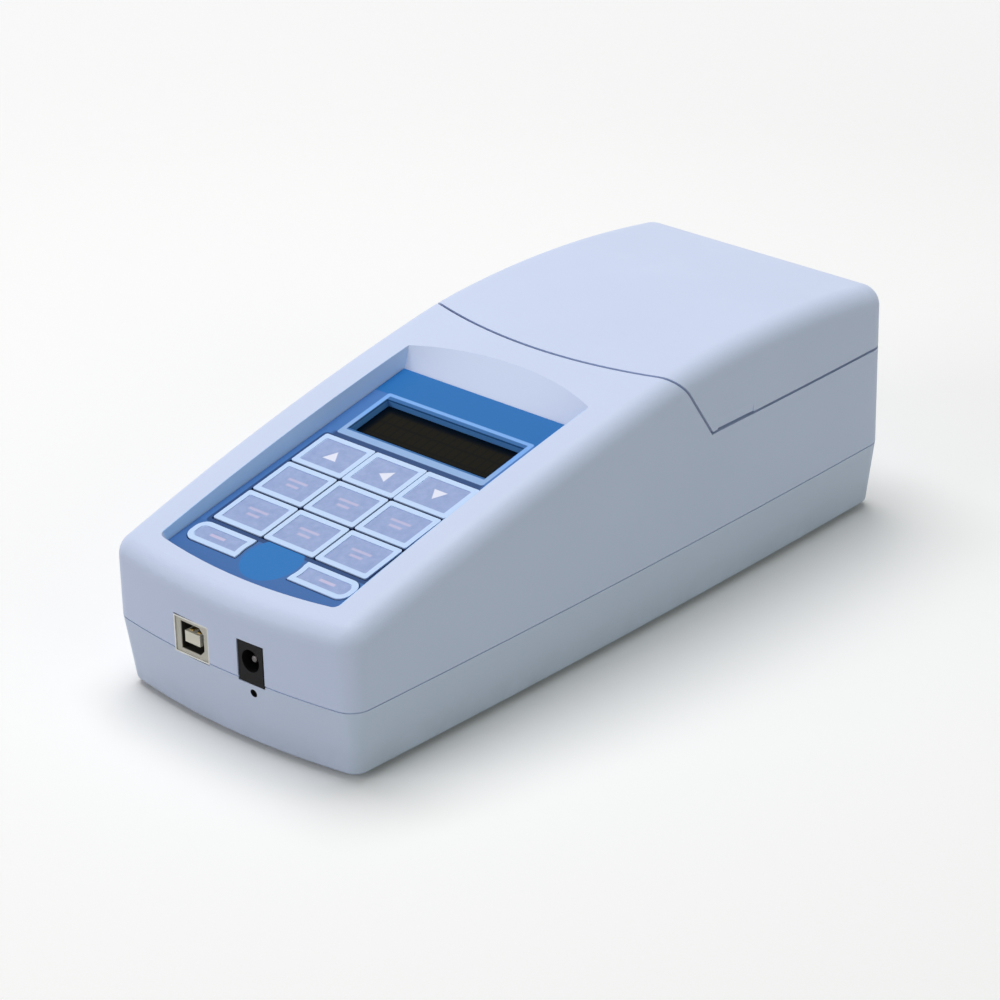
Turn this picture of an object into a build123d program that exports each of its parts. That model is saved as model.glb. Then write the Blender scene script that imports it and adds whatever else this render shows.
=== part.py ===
from build123d import *
from math import cos, radians, sin, sqrt, tan
import os

# Portable turbidity meter: sloped hand-held case, keypad and display in a recess on the ramp,
# hinged lid over a sample well at the rear. Millimetres, +X right, front towards -Y, +Z up.
# The origin lies under the middle of the overall box, on the table.

os.makedirs("parts", exist_ok=True)

# Case outline, seen from above
case_length = 220.0
case_width = 89.0
side_bow = 1.65
front_bulge = 4.15
corner_radius = 6.5
wall = 2.5

# Case profile, seen from the side: the crown's height above the lower case's bottom, and drops below it
shoulder_radius = 6.3
profile_overrun = 8.0
ramp_low_drop = 31.65
ramp_mid_y, ramp_mid_drop = 60.0, 13.7
crest_y, crest_drop = 118.0, 2.1
crown_y, crown_height = 135.0, 71.0
rear_drop = 5.2

# Lower case
foot_height = 1.5
lower_height = 19.7
lower_taper = 2.4
base_thickness = 2.5
seam_groove_depth = 0.4
seam_groove_height = 0.4
lip_gap = 0.35
lip_thickness = 1.2
lip_height = 2.0

# Lid and the slanted seam in front of it
lid_seam_height = 49.2
lid_gap = 0.8
lid_front_y = 131.3
lid_arc_radius = 146.45
lid_arc_margin = 3.85
lid_slant_deg = 34.1
skirt_gap = 0.4
skirt_thickness = 1.2
skirt_drop = 2.2
grip_length = 16.0
grip_height = 4.2
grip_depth = 0.7
rib_thickness = 1.4
rib_height = 4.6
rib_x = (18.0, 30.0)
rib_reach_y = 21.0

# Hinge
hinge_inset = 3.4
hinge_rise = 4.0
ear_width = 9.0
ear_inset = 17.5
ear_side_gap = 0.4
ear_top_gap = 0.5
barrel_length = 7.0
pin_radius = 1.5
pin_running_gap = 0.05
pin_seat_gap = 0.02
pin_bore_inset = 5.2
pin_end_inset = 1.0

# Keypad recess on the ramp
panel_slope_deg = 12.0
panel_y = 7.85
panel_drop = 30.35
panel_length = 93.5
panel_half_width = 32.0
panel_front_arc = 3.0
panel_corner_radius = 2.0
recess_loft_height = 9.0
recess_side_draw = 0.2
recess_rear_side_draw = 0.83
recess_rear_mid_draw = 2.2
panel_wall = 2.2

# Keypad layout, measured along the recess floor
overlay_thickness = 0.6
overlay_edge_gap = 0.25
key_side_margin = 3.5
key_grid_s = 13.9
key_display_gap = 6.2
title_strip = 15.4
key_gap_x = 0.6
key_gap_s = 0.8
arrow_key_gap_x = 0.3
key_window_gap = 0.3
key_rise = 0.35
key_corner_radius = 0.7
key_travel = 0.35
key_dome_gap = 0.1
pad_border = 1.7
pad_sink = 0.15
end_key_s = 4.2
end_key_height = 8.2
end_key_inner = 9.6
end_key_side_margin = 2.4
end_key_clear_radius = 9.2
backing_thickness = 0.35
key_board_thickness = 1.2
key_board_margin = 2.6

# Display
display_height = 13.0
display_width = 47.8
display_margin = 1.2
display_thickness = 0.6
display_gap = 0.2
module_width = 59.0
module_height = 21.5
module_thickness = 6.0

# Front connectors
port_inset = 0.35
port_opening_gap = 0.2
usb_x = -10.8
usb_width = 13.0
usb_height = 10.8
usb_depth = 16.0
usb_shell_thickness = 0.4
usb_slot_width = 8.6
usb_slot_height = 8.0
usb_slot_depth = 9.0
usb_tongue_width = 5.6
usb_tongue_height = 3.2
jack_x = 11.2
jack_width = 9.0
jack_height = 11.6
jack_depth = 14.2
jack_bore_radius = 3.15
jack_bore_depth = 9.5
jack_bore_rise = 6.6
jack_pin_radius = 1.0
light_x = 11.4
light_height = 16.0
light_radius = 1.0
light_gap = 0.1
light_recess = 1.4
light_length = 7.4

# Main board
board_side_gap = 1.3
board_length = 118.0
board_thickness = 1.6
board_front_y = 4.0
board_bottom_height = 17.2
board_post_radius = 3.2
board_screw_side_inset = 3.5
board_screw_inset = 6.0
small_screw_radius = 1.2
small_head_radius = 2.2
small_head_height = 1.6
small_screw_length = 7.0

# Batteries
cell_radius = 7.25
cell_length = 50.0
cell_pitch = 14.8
cell_count = 4
cell_row_y = 77.0
cell_clearance = 0.15
cell_button_radius = 2.6
cell_button_height = 1.0
contact_thickness = 0.4
bay_wall = 1.6
bay_margin = 1.2
cover_thickness = 2.0
cover_gap = 0.3

# Case screws
screw_side_inset = 8.5
screw_front_y = 14.0
screw_rear_inset = 13.0
screw_radius = 1.5
screw_head_radius = 2.8
screw_head_height = 2.0
screw_clearance = 0.2
screw_recess = 3.0
boss_radius = 4.2
upper_boss_height = 14.0
insert_radius = 2.3
insert_length = 6.0

# Feet
foot_radius = 5.0
foot_side_inset = 10.5
foot_inset_y = 28.0
foot_sink = 0.8

# Small parts on the boards and in the connectors
usb_slot_chamfer = 1.6
usb_contact_width = 1.2
usb_contact_thickness = 0.3
usb_contact_start = 1.0
jack_pin_inset = 1.2
chip_sizes = {"processor": (14.0, 14.0, 1.2), "memory": (6.0, 8.0, 1.4), "regulator": (9.0, 7.0, 2.4)}
chip_places = {"processor": (0.0, 0.0), "memory": (-18.0, -2.0), "regulator": (18.0, -26.0)}
led_width = 2.6
led_length = 3.2
cable_width = 16.0
cable_thickness = 0.3
key_cable_s = 36.0
display_cable_inset = 6.5

# Battery cover tab and board supports
base_edge_radius = 1.2
cover_tab = 9.0
cover_tab_width = 14.0
cover_tab_thickness = 1.6
cover_boss_height = 3.0
cover_head_height = 0.8
cover_grip_y = 8.0
cover_grip_width = 18.0
cover_grip_length = 5.0
block_pad_inset = 6.0
block_pad_width = 4.0
foot_gap = 0.05
foot_edge_radius = 0.5
skirt_rear_clear = 14.0

# Sample well and optics
well_y = 160.0
well_radius = 12.75
well_depth = 39.5
well_floor = 2.5
block_size = 42.0
neck_wall = 2.6
neck_rise = 1.5
deck_screw_y = 15.0
neck_gap = 0.3
deck_drop = 4.0
deck_thickness = 2.0
deck_edge_gap = 0.35
ledge_width = 3.2
ledge_height = 2.5
beam_height = 27.0
beam_radius = 2.5
seat_radius = 4.6
seat_depth = 3.5
seat_gap = 0.1
lamp_length = 9.0
lens_thickness = 1.6
optics_board_size = 18.0
optics_board_thickness = 1.2
seal_width = 2.4
seal_setback = 0.6
seal_gap = 0.3
lamp_base_radius = 5.5

# Places worked out from the sizes
total_length = case_length + front_bulge
rear_y = total_length / 2
corner_y = rear_y - case_length
mid_y = corner_y + case_length / 2
half_width = case_width / 2
screw_x = half_width - screw_side_inset
foot_x = half_width - foot_side_inset
ear_x = half_width - ear_inset
hinge_pin_half = half_width - pin_bore_inset
board_width = 2 * (screw_x - boss_radius - board_side_gap)
board_screw_x = board_width / 2 - board_screw_side_inset
lid_arc_reach = half_width + side_bow + lid_arc_margin
lid_arc_depth = lid_arc_radius - sqrt(lid_arc_radius**2 - lid_arc_reach**2)
seam_z = foot_height + lower_height
floor_z = foot_height + base_thickness
lid_seam_z = foot_height + lid_seam_height
top_z = foot_height + crown_height + corner_radius
hinge_y = rear_y - hinge_inset
hinge_z = lid_seam_z + hinge_rise
deck_z = lid_seam_z - deck_drop
board_z = foot_height + board_bottom_height
board_top_z = board_z + board_thickness
port_y = corner_y - front_bulge + port_inset
skirt_rear_y = hinge_y - skirt_rear_clear
panel = Plane(
    origin=(0, corner_y + panel_y, foot_height + crown_height - panel_drop),
    x_dir=(1, 0, 0),
    z_dir=(0, -sin(radians(panel_slope_deg)), cos(radians(panel_slope_deg))),
)
well_mid_y = corner_y + well_y


def plan_face(inset, radius):
    """Case outline from above, drawn in by inset on every side."""
    side = half_width - inset
    front = corner_y + inset
    rear = rear_y - inset
    with BuildSketch() as outline:
        with BuildLine():
            ThreePointArc((-side, front), (0, front - front_bulge), (side, front))
            ThreePointArc((side, front), (side + side_bow, mid_y), (side, rear))
            Line((side, rear), (-side, rear))
            ThreePointArc((-side, rear), (-side - side_bow, mid_y), (-side, front))
        make_face()
        fillet(outline.vertices(), radius)
    return outline.sketch


def case_form(inset, base_z):
    """Solid outer form of the case above base_z, drawn in by inset on every side."""
    plan = plan_face(inset, corner_radius - inset)
    crown_z = foot_height + crown_height - inset
    with BuildPart() as form:
        with BuildSketch(Plane.XY.offset(base_z)):
            add(plan)
        extrude(amount=top_z - base_z)
        with BuildSketch(Plane.YZ):
            with BuildLine():
                ramp = ThreePointArc(
                    (corner_y - profile_overrun, crown_z - ramp_low_drop),
                    (corner_y + ramp_mid_y, crown_z - ramp_mid_drop),
                    (corner_y + crest_y, crown_z - crest_drop),
                )
                crest = TangentArc(ramp @ 1, (corner_y + crown_y, crown_z), tangent=ramp % 1)
                crown_end = (rear_y + profile_overrun, crown_z - rear_drop)
                crown = TangentArc(crest @ 1, crown_end, tangent=crest % 1)
                Line(crown @ 1, (rear_y + profile_overrun, 0))
                Line((rear_y + profile_overrun, 0), (corner_y - profile_overrun, 0))
                Line((corner_y - profile_overrun, 0), ramp @ 0)
            make_face()
        extrude(amount=case_width, both=True, mode=Mode.INTERSECT)
        raised = form.edges().filter_by(lambda e: e.bounding_box().min.Z > base_z + wall)
        last_y = rear_y - inset - wall
        rim = raised.filter_by(lambda e: e.geom_type != GeomType.LINE or e.center().Y > last_y)
        fillet(rim, shoulder_radius - inset)
    return form.part


def lid_zone(setback, base_z):
    """Space behind the slanted lid seam and above base_z; setback moves its front to the rear."""
    height = top_z + foot_height - base_z
    lean = tan(radians(lid_slant_deg))
    front = corner_y + lid_front_y + setback - lean * (base_z - lid_seam_z)
    rear = rear_y + profile_overrun
    with BuildPart() as zone:
        for level, shift in ((base_z, 0), (base_z + height, -lean * height)):
            with BuildSketch(Plane.XY.offset(level)):
                with BuildLine():
                    left = (-lid_arc_reach, front + shift + lid_arc_depth)
                    right = (lid_arc_reach, front + shift + lid_arc_depth)
                    ThreePointArc(left, (0, front + shift), right)
                    Line(right, (lid_arc_reach, rear))
                    Line((lid_arc_reach, rear), (-lid_arc_reach, rear))
                    Line((-lid_arc_reach, rear), left)
                make_face()
        loft(ruled=True)
    return zone.part


def panel_outline(half, front, rear, rear_arc, radius):
    """Outline of the keypad panel on its own plane, with a curved front and an optional rear arc."""
    with BuildSketch() as outline:
        with BuildLine():
            ThreePointArc((-half, front), (0, front - panel_front_arc), (half, front))
            Line((half, front), (half, rear))
            if rear_arc > 0:
                ThreePointArc((half, rear), (0, rear + rear_arc), (-half, rear))
            else:
                Line((half, rear), (-half, rear))
            Line((-half, rear), (-half, front))
        make_face()
        fillet(outline.vertices().sort_by(Axis.Y)[:2], radius)
    return outline.sketch


def recess_form(skin, bottom):
    """Air above the recess floor, or with a skin the wall that surrounds it."""
    height = recess_loft_height
    low = panel_outline(panel_half_width + skin, -skin, panel_length + skin, 0, panel_corner_radius + skin)
    high = panel_outline(
        panel_half_width + skin + recess_side_draw * height,
        -skin - recess_side_draw * height,
        panel_length + skin + recess_rear_side_draw * height,
        (recess_rear_mid_draw - recess_rear_side_draw) * height,
        panel_corner_radius + skin,
    )
    with BuildPart() as form:
        with BuildSketch(panel.offset(bottom)):
            add(low)
        with BuildSketch(panel.offset(bottom + height)):
            add(high)
        loft(ruled=True)
    return form.part


def finish(piece, name):
    """Name a finished piece and write its file."""
    piece.part.label = name
    export_step(piece.part, f"parts/{name}.step")


def span(first, second):
    """Range between two values, low end first."""
    return min(first, second), max(first, second)


def block(x_range, y_range, z_range):
    """Plain block between two corners."""
    size = [high - low for low, high in (x_range, y_range, z_range)]
    middle = [(high + low) / 2 for low, high in (x_range, y_range, z_range)]
    return Pos(*middle) * Box(*size, mode=Mode.PRIVATE)


def post(x, y, low, high, radius):
    """Upright round post between two heights."""
    return Pos(x, y, (low + high) / 2) * Cylinder(radius, high - low, mode=Mode.PRIVATE)


def bar_along_x(x_range, y, z, radius):
    """Round bar along X between two ends."""
    low, high = x_range
    return Pos((low + high) / 2, y, z) * Rot(0, 90, 0) * Cylinder(radius, high - low, mode=Mode.PRIVATE)


def bar_along_y(x, y_range, z, radius):
    """Round bar along Y between two ends."""
    low, high = y_range
    return Pos(x, (low + high) / 2, z) * Rot(90, 0, 0) * Cylinder(radius, high - low, mode=Mode.PRIVATE)


# Shared forms and places
seam_setback = lid_gap / cos(radians(lid_slant_deg))
wall_setback = wall / cos(radians(lid_slant_deg))
outer_form = case_form(0, seam_z)
inner_form = case_form(wall, seam_z - wall)
lid_cut = lid_zone(0, lid_seam_z)
recess = recess_form(0, 0)
recess_skin = recess_form(panel_wall, -panel_wall)
deck_bottom_z = deck_z - deck_thickness
ear_places = (-ear_x, ear_x)
ear_foot_z = deck_bottom_z - ledge_height
bulkhead = lid_zone(-wall_setback, ear_foot_z) - lid_zone(0, ear_foot_z)
screw_places = [
    (side * screw_x, y) for side in (-1, 1) for y in (corner_y + screw_front_y, rear_y - screw_rear_inset)
]
boss_seat_z = foot_height + screw_recess
port_depth = wall + front_bulge
usb_z = board_top_z + usb_height / 2
usb_opening = block(
    (usb_x - usb_width / 2 - port_opening_gap, usb_x + usb_width / 2 + port_opening_gap),
    (corner_y - 2 * front_bulge, corner_y + wall + port_depth),
    (board_top_z - port_opening_gap, board_top_z + usb_height + port_opening_gap),
)
jack_opening = block(
    (jack_x - jack_width / 2 - port_opening_gap, jack_x + jack_width / 2 + port_opening_gap),
    (corner_y - 2 * front_bulge, corner_y + wall + port_depth),
    (board_top_z - port_opening_gap, board_top_z + jack_height + port_opening_gap),
)
screw_hole_radius = screw_radius + screw_clearance
block_front = well_mid_y - block_size / 2
block_rear = well_mid_y + block_size / 2
well_bottom_z = deck_z + neck_rise - well_depth
block_bottom_z = well_bottom_z - well_floor
neck_radius = well_radius + neck_wall
deck_screws = [(side * screw_x, well_mid_y + end * deck_screw_y) for side in (-1, 1) for end in (-1, 1)]

# Keypad layout: centre, width and height of each key on the panel plane
row_names = ("lower", "middle", "arrow")
column_names = ("left", "centre", "right")
display_s = panel_length - title_strip - display_height
key_pitch_x = 2 * (panel_half_width - key_side_margin) / len(column_names)
key_pitch_s = (display_s - key_display_gap - key_grid_s) / len(row_names)
end_key_outer = panel_half_width - end_key_side_margin
grid_keys = {}
for row, row_name in enumerate(row_names):
    gap_x = arrow_key_gap_x if row_name == "arrow" else key_gap_x
    for column, column_name in enumerate(column_names):
        place = ((column - 1) * key_pitch_x, key_grid_s + (row + 0.5) * key_pitch_s)
        grid_keys[f"{row_name}_key_{column_name}"] = (place, key_pitch_x - gap_x, key_pitch_s - key_gap_s)
grid_width = 3 * key_pitch_x - arrow_key_gap_x + 2 * key_window_gap
grid_height = 3 * key_pitch_s - key_gap_s + 2 * key_window_gap
grid_mid_s = key_grid_s + 1.5 * key_pitch_s
end_key_mid_s = end_key_s + end_key_height / 2


def end_key_sketch(side, margin):
    """Outline of a bottom key: round outside, hollowed towards the round mark between the two."""
    width = end_key_outer - end_key_inner + 2 * margin
    height = end_key_height + 2 * margin
    middle = side * (end_key_outer + end_key_inner) / 2
    with BuildSketch() as outline:
        with Locations((middle, end_key_mid_s)):
            Rectangle(width, height)
        outer = outline.vertices().filter_by(lambda v: v.X * side > middle * side)
        fillet(outer, height / 2 - key_corner_radius)
        with Locations((0, end_key_mid_s)):
            Circle(end_key_clear_radius + key_corner_radius - margin, mode=Mode.SUBTRACT)
    return outline.sketch


end_outlines = {side: end_key_sketch(side, 0) for side in (-1, 1)}
end_windows = {side: end_key_sketch(side, key_window_gap) for side in (-1, 1)}
display_mid_s = display_s + display_height / 2
display_outer_width = display_width + 2 * display_margin
display_outer_height = display_height + 2 * display_margin


def panel_windows(low, height):
    """Openings for the keys and the display, cut square to the panel plane."""
    with BuildPart() as cut:
        with BuildSketch(panel.offset(low)):
            with Locations((0, grid_mid_s)):
                RectangleRounded(grid_width, grid_height, key_corner_radius)
            with Locations((0, display_mid_s)):
                Rectangle(display_outer_width + 2 * display_gap, display_outer_height + 2 * display_gap)
            for side in (-1, 1):
                add(end_windows[side])
        extrude(amount=height)
    return cut.part


def grip_wedge(side):
    """Slanted finger scoop above the seam on one side of the lid, starting at the seam's corner."""
    start = corner_y + lid_front_y + lid_arc_depth + seam_setback
    face = half_width + side_bow
    with BuildPart() as wedge:
        with BuildSketch(Plane.XZ.offset(-start)):
            with BuildLine():
                Polyline(
                    (side * (face + wall), lid_seam_z),
                    (side * (face - grip_depth), lid_seam_z),
                    (side * (face - grip_depth), lid_seam_z + lid_gap),
                    (side * face, lid_seam_z + lid_gap + grip_height),
                    (side * (face + wall), lid_seam_z + lid_gap + grip_height),
                    close=True,
                )
            make_face()
        extrude(amount=-grip_length)
    return wedge.part


def lid_frame(inset, thickness, setback, base_z, height):
    """Frame that follows the case sides and the lid seam, open towards the hinge."""
    outer = plan_face(inset, corner_radius - inset)
    inner = plan_face(inset + thickness, corner_radius - inset - thickness)
    core_zone = lid_zone(setback + thickness, base_z)
    outer_zone = lid_zone(setback, base_z)
    with BuildPart() as core:
        with BuildSketch(Plane.XY.offset(base_z)):
            add(inner)
        extrude(amount=height)
        add(core_zone, mode=Mode.INTERSECT)
    with BuildPart() as frame:
        with BuildSketch(Plane.XY.offset(base_z)):
            add(outer)
        extrude(amount=height)
        add(outer_zone, mode=Mode.INTERSECT)
        add(core.part, mode=Mode.SUBTRACT)
        add(block((-case_width, case_width), (skirt_rear_y, rear_y), (0, top_z)), mode=Mode.SUBTRACT)
    return frame.part


# Upper case: ramp, recess floor, bulkhead in front of the lid, deck ledge, hinge ears, screw bosses
ledge_outer = plan_face(wall / 2, corner_radius - wall / 2)
ledge_inner = plan_face(wall + ledge_width, corner_radius - wall)
lip_outer = plan_face(wall + lip_gap, corner_radius - wall - lip_gap)
lip_inner = plan_face(wall + lip_gap + lip_thickness, corner_radius - wall - lip_gap - lip_thickness)
lip_root = plan_face(wall / 2, corner_radius - wall / 2)
case_windows = panel_windows(-2 * panel_wall, 4 * panel_wall)
hollow = inner_form - recess_skin - bulkhead
deck_space = lid_zone(0, ear_foot_z)
with BuildPart() as upper_case:
    add(outer_form)
    add(lid_cut, mode=Mode.SUBTRACT)
    add(hollow, mode=Mode.SUBTRACT)
    add(recess, mode=Mode.SUBTRACT)
    add(case_windows, mode=Mode.SUBTRACT)
    with BuildSketch(Plane.XY.offset(seam_z)):
        add(lip_root)
        add(lip_inner, mode=Mode.SUBTRACT)
    extrude(amount=lip_height)
    with BuildSketch(Plane.XY.offset(seam_z - lip_height)):
        add(lip_outer)
        add(lip_inner, mode=Mode.SUBTRACT)
    extrude(amount=lip_height)
    for x, y in screw_places:
        add(post(x, y, seam_z, seam_z + upper_boss_height, boss_radius))
        web_end = (half_width - wall / 2) * x / abs(x)
        web_heights = (seam_z + lip_height, seam_z + upper_boss_height)
        add(block(span(x, web_end), (y - wall / 2, y + wall / 2), web_heights))
    for x, y in screw_places:
        add(post(x, y, seam_z, seam_z + insert_length, insert_radius), mode=Mode.SUBTRACT)
        add(post(x, y, seam_z, seam_z + upper_boss_height - wall, screw_hole_radius), mode=Mode.SUBTRACT)
    add(usb_opening, mode=Mode.SUBTRACT)
    add(jack_opening, mode=Mode.SUBTRACT)
with BuildPart() as ledge:
    with BuildSketch(Plane.XY.offset(ear_foot_z)):
        add(ledge_outer)
        add(ledge_inner, mode=Mode.SUBTRACT)
    extrude(amount=ledge_height)
    boss_heights = (ear_foot_z - ledge_height, deck_bottom_z)
    for x, y in deck_screws:
        boss_end = (half_width - wall / 2) * x / abs(x)
        add(block(span(x, boss_end), (y - boss_radius, y + boss_radius), boss_heights))
        add(post(x, y, *boss_heights, boss_radius))
    for x, y in deck_screws:
        add(post(x, y, *boss_heights, small_screw_radius), mode=Mode.SUBTRACT)
    add(deck_space, mode=Mode.INTERSECT)
with BuildPart() as ears:
    for x in ear_places:
        add(bar_along_x((x - ear_width / 2, x + ear_width / 2), hinge_y, hinge_z, hinge_inset))
        add(block((x - ear_width / 2, x + ear_width / 2), (hinge_y - hinge_inset, rear_y),
                  (ear_foot_z, hinge_z)))
        add(bar_along_x((x - ear_width, x + ear_width), hinge_y, hinge_z, pin_radius + pin_seat_gap),
            mode=Mode.SUBTRACT)
with BuildPart() as upper_case_whole:
    add(upper_case.part)
    add(ledge.part)
    add(ears.part)
finish(upper_case_whole, "upper_case")


# Lower case: tapered tray with battery bay, board posts, screw bosses and foot recesses
lower_top = plan_face(0, corner_radius)
lower_bottom = plan_face(lower_taper, corner_radius - lower_taper)
inside_top = plan_face(wall, corner_radius - wall)
inside_bottom = plan_face(wall + lower_taper, corner_radius - wall - lower_taper)
groove_inner = plan_face(seam_groove_depth, corner_radius - seam_groove_depth)
groove_outer = plan_face(-wall, corner_radius + wall)
bay_length = cell_count * cell_pitch + 2 * bay_margin
bay_width = cell_length + 2 * cell_button_height + 2 * contact_thickness + 2 * cell_clearance + 2 * bay_margin
bay_front = corner_y + cell_row_y - bay_length / 2
bay_rear = bay_front + bay_length
bay_top_z = board_z - cell_clearance
cell_z = foot_height + cover_thickness + cell_clearance + cell_radius
board_front = corner_y + board_front_y
board_rear = board_front + board_length
board_posts = [
    (side * board_screw_x, y)
    for side in (-1, 1)
    for y in (board_front + board_screw_inset, board_rear - board_screw_inset)
]
foot_places = [(side * foot_x, y) for side in (-1, 1) for y in (corner_y + foot_inset_y, rear_y - foot_inset_y)]
cover_screw_y = bay_rear + cover_tab / 2
light_z = foot_height + light_height
with BuildPart() as tray:
    with BuildSketch(Plane.XY.offset(foot_height)):
        add(lower_bottom)
    with BuildSketch(Plane.XY.offset(seam_z)):
        add(lower_top)
    loft(ruled=True)
    fillet(tray.faces().sort_by(Axis.Z)[0].edges(), base_edge_radius)
with BuildPart() as tray_space:
    with BuildSketch(Plane.XY.offset(floor_z)):
        add(inside_bottom)
    with BuildSketch(Plane.XY.offset(seam_z)):
        add(inside_top)
    loft(ruled=True)
with BuildPart() as lower_case:
    add(tray.part)
    add(tray_space.part, mode=Mode.SUBTRACT)
    with BuildSketch(Plane.XY.offset(seam_z - seam_groove_height)):
        add(groove_outer)
        add(groove_inner, mode=Mode.SUBTRACT)
    extrude(amount=seam_groove_height, mode=Mode.SUBTRACT)
    add(block((-bay_width / 2 - bay_wall, bay_width / 2 + bay_wall),
              (bay_front - bay_wall, bay_rear + bay_wall), (foot_height, bay_top_z)))
    for x, y in screw_places:
        add(post(x, y, foot_height, seam_z, boss_radius))
    for x, y in board_posts:
        add(post(x, y, foot_height, board_z, board_post_radius))
    add(post(0, cover_screw_y, foot_height, floor_z + cover_boss_height, board_post_radius))
    for y in (block_front + block_pad_inset, block_rear - block_pad_inset):
        add(block((-block_size / 2, block_size / 2), (y - block_pad_width / 2, y + block_pad_width / 2),
                  (foot_height, block_bottom_z)))
    add(block((-bay_width / 2, bay_width / 2), (bay_front, bay_rear), (0, seam_z)), mode=Mode.SUBTRACT)
    add(block((-cover_tab_width / 2 - cover_gap, cover_tab_width / 2 + cover_gap),
              (bay_rear - bay_wall, bay_rear + cover_tab + cover_gap),
              (0, foot_height + cover_tab_thickness)), mode=Mode.SUBTRACT)
    add(post(0, cover_screw_y, 0, floor_z + cover_boss_height, small_screw_radius), mode=Mode.SUBTRACT)
    for x, y in screw_places:
        add(post(x, y, 0, seam_z, screw_hole_radius), mode=Mode.SUBTRACT)
        add(post(x, y, 0, boss_seat_z, screw_head_radius + screw_clearance), mode=Mode.SUBTRACT)
    for x, y in board_posts:
        add(post(x, y, floor_z, board_z, small_screw_radius), mode=Mode.SUBTRACT)
    for x, y in foot_places:
        add(post(x, y, 0, foot_height + foot_sink, foot_radius), mode=Mode.SUBTRACT)
    add(bar_along_y(light_x, (corner_y - 2 * front_bulge, corner_y + 2 * wall), light_z,
                    light_radius + light_gap), mode=Mode.SUBTRACT)
    add(usb_opening, mode=Mode.SUBTRACT)
    add(jack_opening, mode=Mode.SUBTRACT)
finish(lower_case, "lower_case")

# Battery cover with a screw tab at its rear end
with BuildPart() as battery_cover:
    with BuildSketch(Plane.XY.offset(foot_height)):
        with Locations((0, (bay_front + bay_rear) / 2)):
            Rectangle(bay_width - 2 * cover_gap, bay_length - 2 * cover_gap)
    extrude(amount=cover_thickness)
    add(block((-cover_tab_width / 2, cover_tab_width / 2), (bay_rear - bay_wall, bay_rear + cover_tab),
              (foot_height, foot_height + cover_tab_thickness - cover_gap / 2)))
    add(post(0, cover_screw_y, 0, floor_z, small_screw_radius + screw_clearance), mode=Mode.SUBTRACT)
    add(post(0, cover_screw_y, 0, foot_height + cover_head_height, small_head_radius + screw_clearance),
        mode=Mode.SUBTRACT)
    with Locations((0, bay_front + cover_grip_y, foot_height)):
        Box(cover_grip_width, cover_grip_length, cover_thickness, mode=Mode.SUBTRACT)
finish(battery_cover, "battery_cover")

with BuildPart() as cover_screw:
    add(post(0, cover_screw_y, foot_height, foot_height + cover_head_height, small_head_radius))
    add(post(0, cover_screw_y, foot_height, floor_z + cover_boss_height, small_screw_radius))
finish(cover_screw, "battery_cover_screw")

# Batteries in a row, each with its button end, and the spring contacts at both ends
with BuildPart() as batteries:
    for index in range(cell_count):
        side = 1 if index % 2 == 0 else -1
        y = bay_front + bay_margin + (index + 0.5) * cell_pitch
        add(bar_along_x((-cell_length / 2, cell_length / 2), y, cell_z, cell_radius))
        cell_end = side * cell_length / 2
        add(bar_along_x(span(cell_end, cell_end + side * cell_button_height), y, cell_z, cell_button_radius))
finish(batteries, "batteries")
with BuildPart() as battery_contacts:
    reach = bay_width / 2 - contact_thickness
    for side in (-1, 1):
        for index in range(cell_count):
            y = bay_front + bay_margin + (index + 0.5) * cell_pitch
            add(block(span(side * reach, side * bay_width / 2),
                      (y - cell_radius + bay_margin, y + cell_radius - bay_margin),
                      (cell_z - cell_radius / 2, cell_z + cell_radius / 2)))
finish(battery_contacts, "battery_contacts")

# Rubber feet, sunk in round recesses
with BuildPart() as rubber_feet:
    for x, y in foot_places:
        add(post(x, y, 0, foot_height + foot_sink, foot_radius - foot_gap))
    fillet(rubber_feet.edges().filter_by(GeomType.CIRCLE).group_by(Axis.Z)[0], foot_edge_radius)
finish(rubber_feet, "rubber_feet")

# Case screws from below, and the brass inserts they hold in the upper case
with BuildPart() as case_screws:
    for x, y in screw_places:
        add(post(x, y, boss_seat_z - screw_head_height, boss_seat_z, screw_head_radius))
        add(post(x, y, boss_seat_z, seam_z + insert_length, screw_radius))
finish(case_screws, "case_screws")
with BuildPart() as threaded_inserts:
    for x, y in screw_places:
        add(post(x, y, seam_z, seam_z + insert_length, insert_radius))
        add(post(x, y, seam_z, seam_z + insert_length, screw_radius + pin_seat_gap), mode=Mode.SUBTRACT)
finish(threaded_inserts, "threaded_inserts")

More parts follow.
